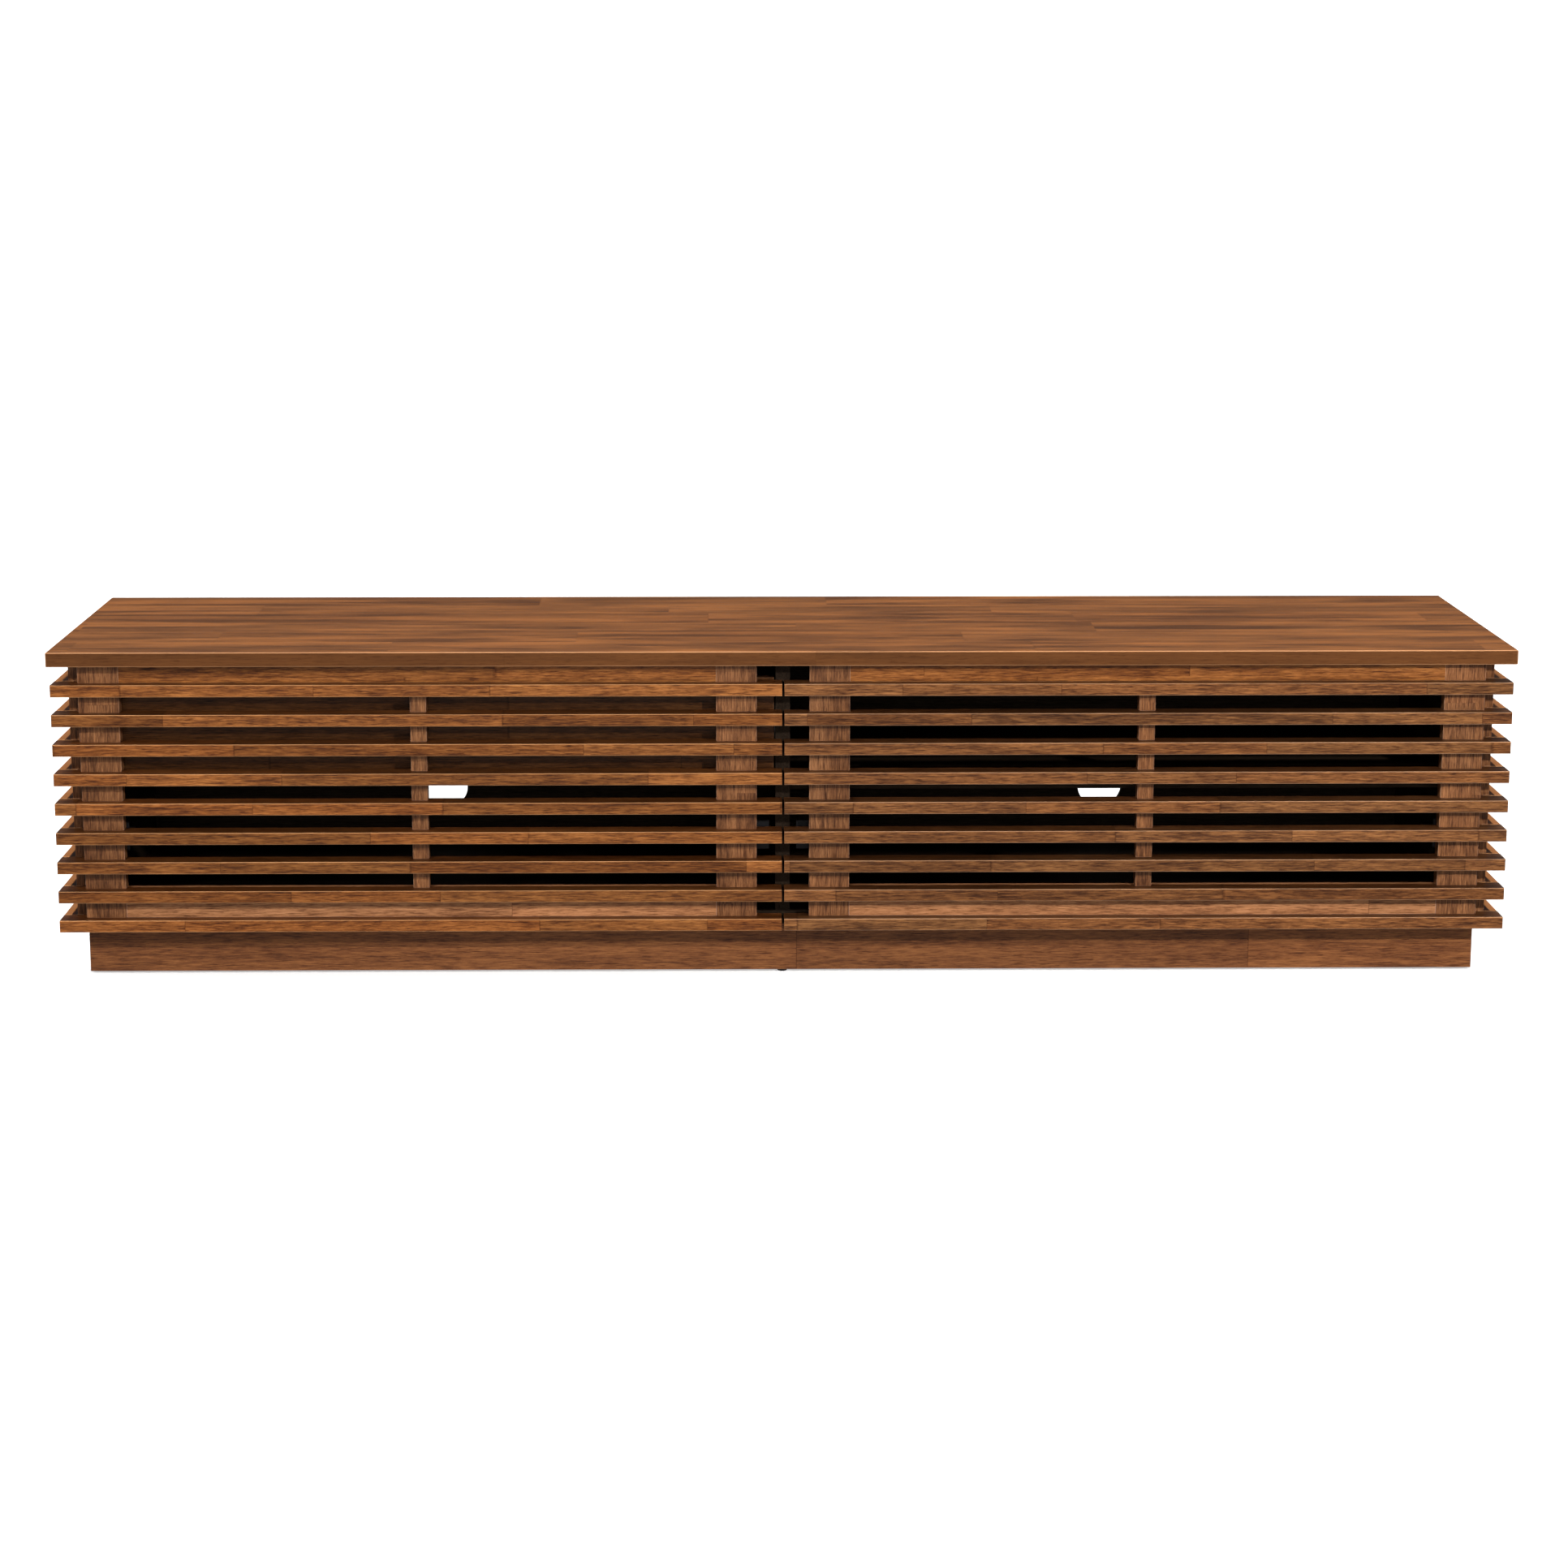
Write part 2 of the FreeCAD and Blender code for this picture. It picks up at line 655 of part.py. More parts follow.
def make_bracket(wall):
    """A stay bracket on the flap: a foot on the stile, a tab, and the rivet that the arm turns on."""
    layers = stay_layers()
    thick = "dims.bracket_thick"
    tab_x = from_wall(wall, layers["tab"], thick)
    foot_long = f"dims.bracket_foot_{wall}"
    foot_x = tab_x if wall == "outer" else f"({tab_x} + {thick} - {foot_long})"
    foot = box(
        f"bracket_{wall}_foot",
        (foot_long, thick, "dims.bracket_tall"),
        (foot_x, FLAP_REAR, f"{PIVOT_Z} - dims.bracket_tall / 2"),
    )
    reach = f"({PIVOT_Y} + dims.bracket_tab_half - {FLAP_REAR})"
    tab = box(
        f"bracket_{wall}_tab",
        (thick, reach, "2 * dims.bracket_tab_half"),
        (tab_x, FLAP_REAR, f"{PIVOT_Z} - dims.bracket_tab_half"),
    )
    shank_long = f"({layers['tab']} - {layers['collar']})"
    shank_x = from_wall(wall, layers["collar"], shank_long)
    head_x = from_wall(wall, layers["head_outer"], "dims.head_thick")
    shank = rod(f"bracket_{wall}_shank", "dims.rivet_radius", shank_long, (shank_x, PIVOT_Y, PIVOT_Z))
    head_place = (head_x, PIVOT_Y, PIVOT_Z)
    head = rod(f"bracket_{wall}_head", "dims.rivet_head_radius", "dims.head_thick", head_place)
    return fuse(f"bracket_{wall}", foot, tab, shank, head)


def make_stud(wall):
    """A fixed stud on the wall of the bay: a collar, a shank in the arm's slot, and a head."""
    layers = stay_layers()
    steps = (
        ("collar", "dims.stud_collar_radius", "0", layers["collar"]),
        ("shank", "dims.stud_radius", layers["collar"], layers["tab"]),
        ("head", "dims.stud_head_radius", layers["tab"], f"({layers['tab']} + dims.head_thick)"),
    )
    rods = []
    for part, radius, near_wall, far in steps:
        long = f"({far} - {near_wall})"
        place = (from_wall(wall, near_wall, long), STUD_Y, STUD_Z)
        rods.append(rod(f"stud_{wall}_{part}", radius, long, place))
    return fuse(f"stud_{wall}", *rods)


def make_arm(wall):
    """A slotted stay arm. Its round end turns on the flap's rivet, and its slot slides along the stud."""
    name = f"arm_{wall}"
    thick, half = "dims.stay_thick", "dims.stay_half_wide"
    slot = "dims.stay_slot_radius"
    hole = "(dims.rivet_radius + dims.rivet_play)"
    end, begin = "(dims.stay_travel + dims.stay_slot_spare)", "dims.stay_slot_start"
    solid = fuse(
        f"{name}_blank",
        box(f"{name}_bar", (thick, end, f"2 * {half}"), (0, 0, f"-{half}")),
        rod(f"{name}_round_a", half, thick, (0, 0, 0)),
        rod(f"{name}_round_b", half, thick, (0, end, 0)),
    )
    opening = fuse(
        f"{name}_opening",
        box(f"{name}_slot", (thick, f"({end} - {begin})", f"2 * {slot}"), (0, begin, f"-{slot}")),
        rod(f"{name}_slot_a", slot, thick, (0, begin, 0)),
        rod(f"{name}_slot_b", slot, thick, (0, end, 0)),
    )
    arm = cut(name, solid, opening, rod(f"{name}_hole", hole, thick, (0, 0, 0)))
    arm.Placement.Rotation = FreeCAD.Rotation(FreeCAD.Vector(1, 0, 0), -1)
    arm.setExpression(".Placement.Rotation.Angle", f"-{STAY_SLOPE}")
    return put(arm, from_wall(wall, stay_layers()["arm_outer"], thick), PIVOT_Y, PIVOT_Z)


def make_stays():
    """Stays at both ends of each flap. Those of the right bay mirror those of the left."""
    pieces, studs = [], []
    walls = ("outer", "inner")
    brackets = [make_bracket(wall) for wall in walls]
    arms = [make_arm(wall) for wall in walls]
    left_studs = [make_stud(wall) for wall in walls]
    for word, side in SIDES:
        if side < 0:
            flap, turning, fixed = brackets, arms, left_studs
        else:
            flap = [mirrored(f"{thing.Name}_right", thing) for thing in brackets]
            turning = [mirrored(f"{thing.Name}_right", thing) for thing in arms]
            fixed = [mirrored(f"{thing.Name}_right", thing) for thing in left_studs]
        pieces.append(group(f"{word}_flap_stay_brackets", *flap))
        pieces.append(group(f"{word}_stay_arms", *turning))
        studs += fixed
    return [*pieces, group("stay_studs", *studs)]


def make_catches():
    """Magnetic catches under the top and the steel strike plates behind each flap's top rail."""
    catches, pieces = [], []
    for word, side in SIDES:
        strikes = []
        for number, shift in enumerate(("-", "+")):
            centre = f"({signed(side, FLAP_MIDDLE)} {shift} dims.catch_spread)"
            x = f"{centre} - dims.catch_wide / 2"
            y = f"({FLAP_REAR} + dims.strike_thick + dims.strike_gap)"
            size = ("dims.catch_wide", "dims.catch_deep", "dims.catch_tall")
            catches.append(box(f"{word}_catch_{number}", size, (x, y, f"{TOP_UNDER} - dims.catch_tall")))
            size = ("dims.catch_wide", "dims.strike_thick", "dims.strike_tall")
            place = (x, FLAP_REAR, f"{TOP_UNDER} - dims.catch_tall")
            strikes.append(box(f"{word}_strike_{number}", size, place))
        pieces.append(group(f"{word}_flap_strike_plates", *strikes))
    return [group("magnetic_catches", *catches), *pieces]


def make_slide_member(name, wall_x, sign, web, lips, margin):
    """One slide member on one side of the drawer: a sheet-metal channel lying on its side.

    web and lips are the near and far distances from the wall of the web and of the lips.
    """
    sheet = "dims.slide_sheet"
    up = f"(dims.slide_bottom + {margin})"
    tall = f"(dims.slide_tall - 2 * {margin})"
    y = f"({CARCASS_FRONT} + dims.board_thick)"

    def layer(part, near_wall, far, foot, high):
        wide = f"({far} - {near_wall})"
        x = f"({wall_x} + {near_wall})" if sign > 0 else f"({wall_x} - {far})"
        return box(f"{name}_{part}", (wide, "dims.drawer_long", high), (x, y, foot))

    return fuse(
        name,
        layer("web", web[0], web[1], up, tall),
        layer("lip_low", lips[0], lips[1], up, sheet),
        layer("lip_high", lips[0], lips[1], f"{up} + {tall} - {sheet}", sheet),
    )


def make_slides():
    """Three members a side: one on the cabinet, one between, one on the drawer, nested without touching."""
    sheet, width, play = "dims.slide_sheet", "dims.slide_width", "dims.slide_play"
    inset = "dims.slide_middle_inset"
    layout = {
        "slide_cabinet_members": (("0", sheet), ("0", f"({width} - {play})"), "0"),
        "slide_middle_members": (
            (inset, f"({inset} + {sheet})"),
            (inset, f"({width} - {inset})"),
            f"({sheet} + {play})",
        ),
        "slide_drawer_members": (
            (f"({width} - {sheet})", width),
            ("dims.slide_drawer_inset", width),
            f"(2 * ({sheet} + {play}) + {play})",
        ),
    }
    pieces = []
    for name, (web, lips, margin) in layout.items():
        outer = make_slide_member(f"{name}_outer", f"(-{BAY_OUTER})", 1, web, lips, margin)
        inner = make_slide_member(f"{name}_inner", f"(-{BAY_INNER})", -1, web, lips, margin)
        pieces.append(group(name, outer, inner))
    return pieces


def make_drawer():
    """A wide drawer in the top of the left bay: a plain front, two sides, a back and a base."""
    wall, long = "dims.drawer_wall", "dims.drawer_long"
    left = f"(-{BAY_OUTER} + dims.slide_width)"
    box_wide = f"({BAY_WIDE} - 2 * dims.slide_width)"
    rear_of_front = f"({CARCASS_FRONT} + dims.board_thick)"
    foot, tall = "dims.drawer_wall_bottom", "dims.drawer_wall_tall"
    front_tall = "dims.drawer_front_top - dims.drawer_front_bottom"
    front = board(
        "drawer_front",
        (f"{BAY_WIDE} - 2 * dims.drawer_gap", "dims.board_thick", front_tall),
        (f"-{BAY_OUTER} + dims.drawer_gap", CARCASS_FRONT, "dims.drawer_front_bottom"),
    )
    round_edges(front, "dims.slat_arris", lambda middle, along: near(middle.y, 0))
    sides = [
        box("drawer_side_outer", (wall, long, tall), (left, rear_of_front, foot)),
        box("drawer_side_inner", (wall, long, tall), (f"{left} + {box_wide} - {wall}", rear_of_front, foot)),
    ]
    back = board(
        "drawer_back",
        (f"{box_wide} - 2 * {wall}", wall, tall),
        (f"{left} + {wall}", f"{rear_of_front} + {long} - {wall}", foot),
    )
    base = board(
        "drawer_base",
        (box_wide, long, "dims.drawer_base_thick"),
        (left, rear_of_front, f"{foot} - dims.drawer_base_thick"),
    )
    return [front, group("drawer_sides", *sides), back, base]


def make_shelf():
    """The right bay's shelf, resting on four pins pressed into the side panel and the partition."""
    front = f"({SLAT_FRONT} + dims.shelf_front_setback)"
    shelf = board(
        "right_shelf",
        (f"{BAY_WIDE} - 2 * dims.shelf_gap", f"{BACK_FRONT} - {front} - dims.shelf_gap", "dims.board_thick"),
        (f"{BAY_INNER} + dims.shelf_gap", front, "dims.shelf_bottom"),
    )
    round_edges(shelf, "dims.slat_arris", lambda middle, along: near(middle.y, 0) and near(along.z, 0))
    deeps, up = shelf_pin_places()
    pins = []
    long = "(2 * dims.shelf_pin_depth)"
    for wall, face in (("inner", BAY_INNER), ("outer", BAY_OUTER)):
        x = f"{face} - dims.shelf_pin_depth"
        for row, deep in zip(("front", "rear"), deeps):
            place = (x, f"{CARCASS_FRONT} + {deep}", f"{BOTTOM_TOP} + {up}")
            pins.append(rod(f"shelf_pin_{wall}_{row}", "dims.shelf_pin_radius", long, place))
    return [shelf, group("shelf_pins", *pins)]


def check_objects():
    bad = [o.Name for o in DOC.Objects if {"Invalid", "Error"} & set(o.State)]
    if bad:
        raise RuntimeError(f"failed objects: {bad}")


def export(nodes):
    os.makedirs("parts", exist_ok=True)
    for old in os.listdir("parts"):
        os.remove(os.path.join("parts", old))
    for node in nodes:
        shape = node.Shape
        if shape.isNull() or not shape.isValid() or shape.Volume <= 0:
            raise RuntimeError(f"{node.Label} is not a valid shape")
    for node in nodes:
        node.Shape.exportStep(f"parts/{node.Label}.step")


def main():
    make_sheet()
    nodes = [make_top(), *make_carcass(), make_partition(), make_back(), *make_plinth()]
    battens = []
    for word, side in SIDES:
        nodes += make_flap_slats(word, side)
        nodes += make_flap_frame(word, side)
        side_slats, side_battens = make_side_slats(word, side)
        nodes.append(side_slats)
        battens += side_battens
    nodes.append(group("side_battens", *battens))
    nodes += make_hinges()
    nodes += make_stays()
    nodes += make_catches()
    nodes += make_slides()
    nodes += make_drawer()
    nodes += make_shelf()
    DOC.recompute()
    check_objects()
    export(nodes)
    print(len(nodes), "nodes written")


main()
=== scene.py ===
"""Looks of the slatted media cabinet: wood, metal and plastic finishes, small fittings, light and camera."""

import math

import bmesh
import bpy
from mathutils import Matrix, Vector


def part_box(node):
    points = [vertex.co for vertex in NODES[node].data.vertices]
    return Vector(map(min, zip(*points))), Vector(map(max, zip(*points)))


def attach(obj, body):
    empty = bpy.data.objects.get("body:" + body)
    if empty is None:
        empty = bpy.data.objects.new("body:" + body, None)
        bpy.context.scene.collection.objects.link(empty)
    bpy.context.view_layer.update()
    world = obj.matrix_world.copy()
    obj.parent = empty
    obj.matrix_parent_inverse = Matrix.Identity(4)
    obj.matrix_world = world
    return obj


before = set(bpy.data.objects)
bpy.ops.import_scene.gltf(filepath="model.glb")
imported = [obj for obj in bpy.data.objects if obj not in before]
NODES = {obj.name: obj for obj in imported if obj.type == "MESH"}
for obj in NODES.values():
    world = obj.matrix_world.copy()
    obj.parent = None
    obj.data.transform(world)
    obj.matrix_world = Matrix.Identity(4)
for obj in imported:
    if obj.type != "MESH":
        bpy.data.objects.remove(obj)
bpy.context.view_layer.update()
SIDES = ("left", "right")

# Wood colours, linear, at the darkest, the middle and the lightest of the grain.
SLAT = {"light": (0.310, 0.117, 0.0310), "mid": (0.182, 0.061, 0.0150), "dark": (0.064, 0.020, 0.0068)}
# A darker copy of the slat wood for the right flap: painted shade against the stronger light on that side.
SHADED_SLAT = {"light": (0.255, 0.106, 0.0350), "mid": (0.138, 0.053, 0.0175), "dark": (0.047, 0.017, 0.0070)}
UPRIGHT = {"light": (0.285, 0.124, 0.0500), "mid": (0.162, 0.066, 0.0270), "dark": (0.062, 0.024, 0.0110)}
TOP = {"light": (0.228, 0.083, 0.0230), "mid": (0.132, 0.049, 0.0155), "dark": (0.056, 0.021, 0.0080)}
RAIL = {"light": (0.240, 0.092, 0.031), "mid": (0.160, 0.057, 0.0200), "dark": (0.075, 0.026, 0.0110)}
PALE = {"light": (0.460, 0.210, 0.095), "mid": (0.335, 0.145, 0.0600), "dark": (0.160, 0.063, 0.0270)}
# The drawer front's wood, coloured far darker: a painted shade for the shade behind the slats.
SHADED_DRAWER = {"light": (0.095, 0.037, 0.0115), "mid": (0.060, 0.0220, 0.0070), "dark": (0.029, 0.0110, 0.0040)}
DARK = {"light": (0.036, 0.024, 0.016), "mid": (0.025, 0.0165, 0.0110), "dark": (0.014, 0.0090, 0.0065)}
PLY = {"light": (0.62, 0.42, 0.23), "mid": (0.52, 0.34, 0.18), "dark": (0.36, 0.22, 0.11)}

# What the colour is multiplied by in pores, flecks and joints, in the painted shade on the slat tops, and on
# every other ply.
PORE_TINT = (0.30, 0.24, 0.22, 1.0)
FLECK_TINT = (0.34, 0.27, 0.24, 1.0)
JOINT_TINT = (0.25, 0.18, 0.15, 1.0)
TOP_SHADE_TINT = (0.24, 0.20, 0.19, 1.0)
PLY_TINT = (0.55, 0.42, 0.32, 1.0)

# The noise layers of a grain: waves a metre along it and across it, detail, roughness, distortion and weight.
SLAT_GRAIN = {
    "figure": (4.0, 60.0, 4.0, 0.62, 0.5, 0.65),
    "streak": (40.0, 620.0, 4.0, 0.75, 0.2, 1.5),
    "patch": (12.0, 46.0, 2.0, 0.5, 0.8, 0.32),
}
TOP_GRAIN = {
    "figure": (2.0, 44.0, 5.0, 0.62, 0.4, 0.85),
    "streak": (12.0, 420.0, 4.0, 0.72, 0.2, 1.3),
    "patch": (3.2, 22.0, 3.0, 0.55, 0.6, 1.0),
}
# The same without distortion and weight, for the dark flecks and the pores.
FLECK_GRAIN = (46.0, 560.0, 3.0, 0.6)
PORE_GRAIN = (70.0, 900.0, 2.0, 0.5)
EDGE_WEAR_AND_HIGHLIGHT = (2.0, 2.7, 4.5)  # how much lighter an arris is painted than the palette's light colour: partly stain sanded thin, partly a painted highlight
CALM_VALUE = 0.38  # the even tone of an edge face whose figure is lost
RIM_BLUR = 0.0004  # half the width over which the painted shade on the side slat tops turns into the painted lit strip
COLOUR_INPUTS = (6, 7)  # the colour sockets A and B of a mix node
COLOUR_OUTPUT = 2  # and its colour result


# ---------------------------------------------------------------- node graphs


class Graph:
    """A material's node tree with short calls for the nodes that it is made of."""

    def __init__(self, name):
        self.material = bpy.data.materials.new(name)
        self.material.use_nodes = True
        self.tree = self.material.node_tree
        self.shader = self.tree.nodes["Principled BSDF"]

    def feed(self, socket, value):
        if isinstance(value, bpy.types.NodeSocket):
            self.tree.links.new(value, socket)
        elif value is not None:
            socket.default_value = value

    def math(self, operation, a, b=None, c=None):
        node = self.tree.nodes.new("ShaderNodeMath")
        node.operation = operation
        for socket, value in zip(node.inputs, (a, b, c)):
            self.feed(socket, value)
        return node.outputs[0]

    def combine(self, x, y, z):
        node = self.tree.nodes.new("ShaderNodeCombineXYZ")
        for socket, value in zip(node.inputs, (x, y, z)):
            self.feed(socket, value)
        return node.outputs[0]

    def split_coordinate(self, output):
        where = self.tree.nodes.new("ShaderNodeTexCoord")
        split = self.tree.nodes.new("ShaderNodeSeparateXYZ")
        self.tree.links.new(where.outputs[output], split.inputs[0])
        return split.outputs

    def place(self):
        """The object's own coordinates, which are the frame's at rest and move with the piece."""
        return dict(zip("XYZ", self.split_coordinate("Object")))

    def facing(self):
        """The three parts of the direction that the surface faces, in the object's own axes."""
        return self.split_coordinate("Normal")

    def arris(self):
        """1 where the surface is rounded over an edge of a board, 0 on its flat faces."""
        x, y, z = (self.math("ABSOLUTE", output) for output in self.facing())
        return self.spread(self.math("MAXIMUM", self.math("MAXIMUM", x, y), z), 0.88, 0.99, 1.0, 0.0)

    def noise(self, vector, scale=1.0, detail=3.0, roughness=0.55, distortion=0.0):
        node = self.tree.nodes.new("ShaderNodeTexNoise")
        self.feed(node.inputs["Vector"], vector)
        settings = {"Scale": scale, "Detail": detail, "Roughness": roughness, "Distortion": distortion}
        for name, value in settings.items():
            self.feed(node.inputs[name], value)
        return node.outputs["Fac"]

    def random(self, vector):
        """Three random numbers for each value of the vector."""
        node = self.tree.nodes.new("ShaderNodeTexWhiteNoise")
        node.noise_dimensions = "3D"
        self.feed(node.inputs["Vector"], vector)
        split = self.tree.nodes.new("ShaderNodeSeparateColor")
        self.tree.links.new(node.outputs["Color"], split.inputs[0])
        return split.outputs

    def spread(self, value, low, high, to_low=0.0, to_high=1.0):
        """Maps low to high onto to_low to to_high, and stops at both ends."""
        node = self.tree.nodes.new("ShaderNodeMapRange")
        node.clamp = True
        for name, number in (("From Min", low), ("From Max", high), ("To Min", to_low), ("To Max", to_high)):
            self.feed(node.inputs[name], number)
        self.feed(node.inputs["Value"], value)
        return node.outputs[0]

    def ramp(self, value, stops):
        """A colour for each value, through stops of (value, colour)."""
        node = self.tree.nodes.new("ShaderNodeValToRGB")
        self.feed(node.inputs[0], value)
        elements = node.color_ramp.elements
        while len(elements) < len(stops):
            elements.new(0.5)
        for element, (at, colour) in zip(elements, stops):
            element.position = at
            element.color = (*colour, 1.0)
        return node.outputs[0]

    def mix(self, kind, amount, a, b):
        node = self.tree.nodes.new("ShaderNodeMix")
        node.data_type = "RGBA"
        node.blend_type = kind
        self.feed(node.inputs["Factor"], amount)
        for index, value in zip(COLOUR_INPUTS, (a, b)):
            self.feed(node.inputs[index], value)
        return node.outputs[COLOUR_OUTPUT]

    def bump(self, height, distance, strength=1.0):
        node = self.tree.nodes.new("ShaderNodeBump")
        node.inputs["Distance"].default_value = distance
        node.inputs["Strength"].default_value = strength
        self.feed(node.inputs["Height"], height)
        self.tree.links.new(node.outputs[0], self.shader.inputs["Normal"])

    def finish(self, colour, roughness, metallic=0.0, specular=0.5, coat=0.0, coat_roughness=0.3):
        self.feed(self.shader.inputs["Base Color"], colour)
        self.feed(self.shader.inputs["Roughness"], roughness)
        self.shader.inputs["Metallic"].default_value = metallic
        self.shader.inputs["Specular IOR Level"].default_value = specular
        self.shader.inputs["Coat Weight"].default_value = coat
        self.shader.inputs["Coat Roughness"].default_value = coat_roughness
        return self.material


def wood(name, along, palette, stave, block, seed=0.0, tone=0.12, pores=0.6, gloss=0.42, coat=0.12, joint=0.5,
         specular=0.2, wear_and_highlight=0.5, flecks=0.7, lid=0.0, rim=None, calm=0.0, layers=SLAT_GRAIN):
    """Solid wood glued up from blocks.

    along is the grain's axis. stave gives the size and offset of one stave across each of the other two
    axes, and block its mean length along the grain. tone is how much the blocks differ, and joint how dark
    their joints are. pores and flecks say how dark those marks are. wear is how much lighter the arrises are
    painted: partly stain sanded thin, partly a painted highlight. lid is how much darker the upper faces are
    painted, a painted shade as if cast by the board above, except past rim, a distance from the middle in X,
    where a painted lit strip lies. calm is how far the figure is lost on the edge faces, and layers holds the
    grain's noises.
    """
    g = Graph(name)
    place = g.place()
    u = place[along]
    v, w = (place[axis] for axis in "XYZ" if axis != along)

    # Rows of staves, each cut into blocks of uneven length that start at another place in every row.
    row_v = g.math("FLOOR", g.math("DIVIDE", g.math("ADD", v, stave[0][1]), stave[0][0]))
    row_w = g.math("FLOOR", g.math("DIVIDE", g.math("ADD", w, stave[1][1]), stave[1][0]))
    row = g.random(g.combine(row_v, row_w, seed))
    along_row = g.math("MULTIPLY_ADD", row[0], 23.0, g.math("DIVIDE", u, block))
    wobble = g.math("SINE", g.math("MULTIPLY_ADD", along_row, 2.6, row[1]))
    along_row = g.math("MULTIPLY_ADD", wobble, 0.27, along_row)
    number = g.math("FLOOR", along_row)
    piece = g.random(g.combine(g.math("ADD", row_v, number), row_w, g.math("ADD", number, seed)))

    # The grain, shifted in every block as if it were cut from another place of the tree.
    shift = g.math("MULTIPLY", piece[1], 9.0)

    def grain(stretch, fine, detail=3.0, roughness=0.55, distortion=0.0):
        vector = g.combine(
            g.math("MULTIPLY_ADD", u, stretch, shift),
            g.math("MULTIPLY_ADD", v, fine, shift),
            g.math("MULTIPLY_ADD", w, fine, shift),
        )
        return g.noise(vector, 1.0, detail, roughness, distortion)

    value = 0.5
    noises = {}
    for layer, (stretch, fine, detail, roughness, distortion, weight) in layers.items():
        noises[layer] = grain(stretch, fine, detail, roughness, distortion)
        value = g.math("MULTIPLY_ADD", g.math("SUBTRACT", noises[layer], 0.5), weight, value)
    if calm:
        edge_face = g.spread(g.math("ABSOLUTE", g.facing()[2]), 0.3, 0.7, 1.0 - calm, 1.0)
        value = g.math("MULTIPLY_ADD", g.math("SUBTRACT", value, CALM_VALUE), edge_face, CALM_VALUE)
    colour = g.ramp(value, ((0.26, palette["dark"]), (0.5, palette["mid"]), (0.74, palette["light"])))

    # Every block is a little lighter or darker, and warmer or cooler.
    shade = g.spread(piece[0], 0.0, 1.0, 1.0 - tone, 1.0 + tone)
    warm = g.spread(piece[2], 0.0, 1.0, 1.0 - 0.3 * tone, 1.0 + 0.15 * tone)
    green = g.math("MULTIPLY", shade, warm)
    colour = g.mix("MULTIPLY", 1.0, colour, g.combine(shade, green, g.math("MULTIPLY", green, warm)))

    # Dark flecks, pores and the joints between blocks.
    fleck = g.spread(grain(*FLECK_GRAIN), 0.56, 0.66, 0.0, flecks)
    colour = g.mix("MULTIPLY", fleck, colour, FLECK_TINT)
    pore = grain(*PORE_GRAIN)
    hollow = g.spread(pore, 0.58, 0.68, 0.0, pores)
    colour = g.mix("MULTIPLY", hollow, colour, PORE_TINT)
    edge = g.math("ABSOLUTE", g.math("SUBTRACT", g.math("FRACT", along_row), 0.5))
    seam = g.spread(edge, 0.5 - 0.0011 / block, 0.5 - 0.0004 / block, 0.0, joint)
    colour = g.mix("MULTIPLY", seam, colour, JOINT_TINT)

    # Painted shade on the upper faces, as if cast by the board above, and a painted lit strip on the
    # outer edge of the side slat tops. The arrises are painted lighter: partly stain sanded thin, partly a
    # painted highlight.
    if lid:
        painted_top_shade = g.spread(g.facing()[2], 0.85, 0.95, 0.0, lid)
        # Past rim, on the outer edge of the side slat tops, a painted lit strip replaces the painted shade.
        if rim:
            outer_strip = g.spread(g.math("ABSOLUTE", place["X"]), rim - RIM_BLUR, rim + RIM_BLUR)
            painted_lit_strip = g.math("MULTIPLY", g.math("MULTIPLY", painted_top_shade, outer_strip), 0.8)
            colour = g.mix("MIX", painted_lit_strip, colour, (*(min(1.0, 1.4 * c) for c in palette["light"]), 1.0))
            painted_top_shade = g.math("MULTIPLY", painted_top_shade, g.math("SUBTRACT", 1.0, outer_strip))
        colour = g.mix("MULTIPLY", painted_top_shade, colour, TOP_SHADE_TINT)
    # Arrises painted lighter: partly stain sanded thin, partly a painted highlight along the edge.
    worn_and_highlit = g.math("MULTIPLY", g.arris(), g.spread(noises["figure"], 0.3, 0.6, 0.5 * wear_and_highlight, wear_and_highlight))
    rubbed_and_highlit = (min(1.0, factor * c) for factor, c in zip(EDGE_WEAR_AND_HIGHLIGHT, palette["light"]))
    colour = g.mix("MIX", worn_and_highlit, colour, (*rubbed_and_highlit, 1.0))

    rough = g.spread(noises["streak"], 0.35, 0.65, gloss - 0.05, gloss + 0.12)
    height = g.math("MULTIPLY_ADD", hollow, -1.0, g.math("MULTIPLY", noises["streak"], 0.35))
    g.bump(g.math("MULTIPLY_ADD", seam, -1.2, height), 0.00022, 0.6)
    return g.finish(colour, rough, specular=specular, coat=coat, coat_roughness=0.16)


def plywood(name, thickness_axis, low, thick, plies=9):
    """Birch plywood: a pale face veneer, and layers that show only on the edges."""
    g = Graph(name)
    place = g.place()
    depth = g.math("DIVIDE", g.math("SUBTRACT", place[thickness_axis], low), thick / plies)
    layer = g.math("FLOOR", depth)
    odd = g.math("ABSOLUTE", g.math("MODULO", layer, 2.0))
    long_axis = "Y" if thickness_axis == "X" else "X"
    short_axis = next(axis for axis in "XYZ" if axis not in (thickness_axis, long_axis))
    along, across = place[long_axis], place[short_axis]
    coarse_vector = g.combine(
        g.math("MULTIPLY", along, 3.0), g.math("MULTIPLY", across, 38.0), g.math("MULTIPLY", layer, 3.7)
    )
    figure = g.noise(coarse_vector, 1.0, 4.0, 0.6, 0.8)
    fine = g.noise(g.combine(g.math("MULTIPLY", along, 20.0), g.math("MULTIPLY", across, 420.0), 0.0))
    value = g.math("MULTIPLY_ADD", g.math("SUBTRACT", fine, 0.5), 0.5, figure)
    colour = g.ramp(value, ((0.25, PLY["dark"]), (0.5, PLY["mid"]), (0.75, PLY["light"])))
    colour = g.mix("MULTIPLY", g.math("MULTIPLY", odd, 0.4), colour, PLY_TINT)
    g.bump(fine, 0.0001, 0.5)
    return g.finish(colour, g.spread(figure, 0.3, 0.7, 0.42, 0.55), specular=0.4, coat=0.1)


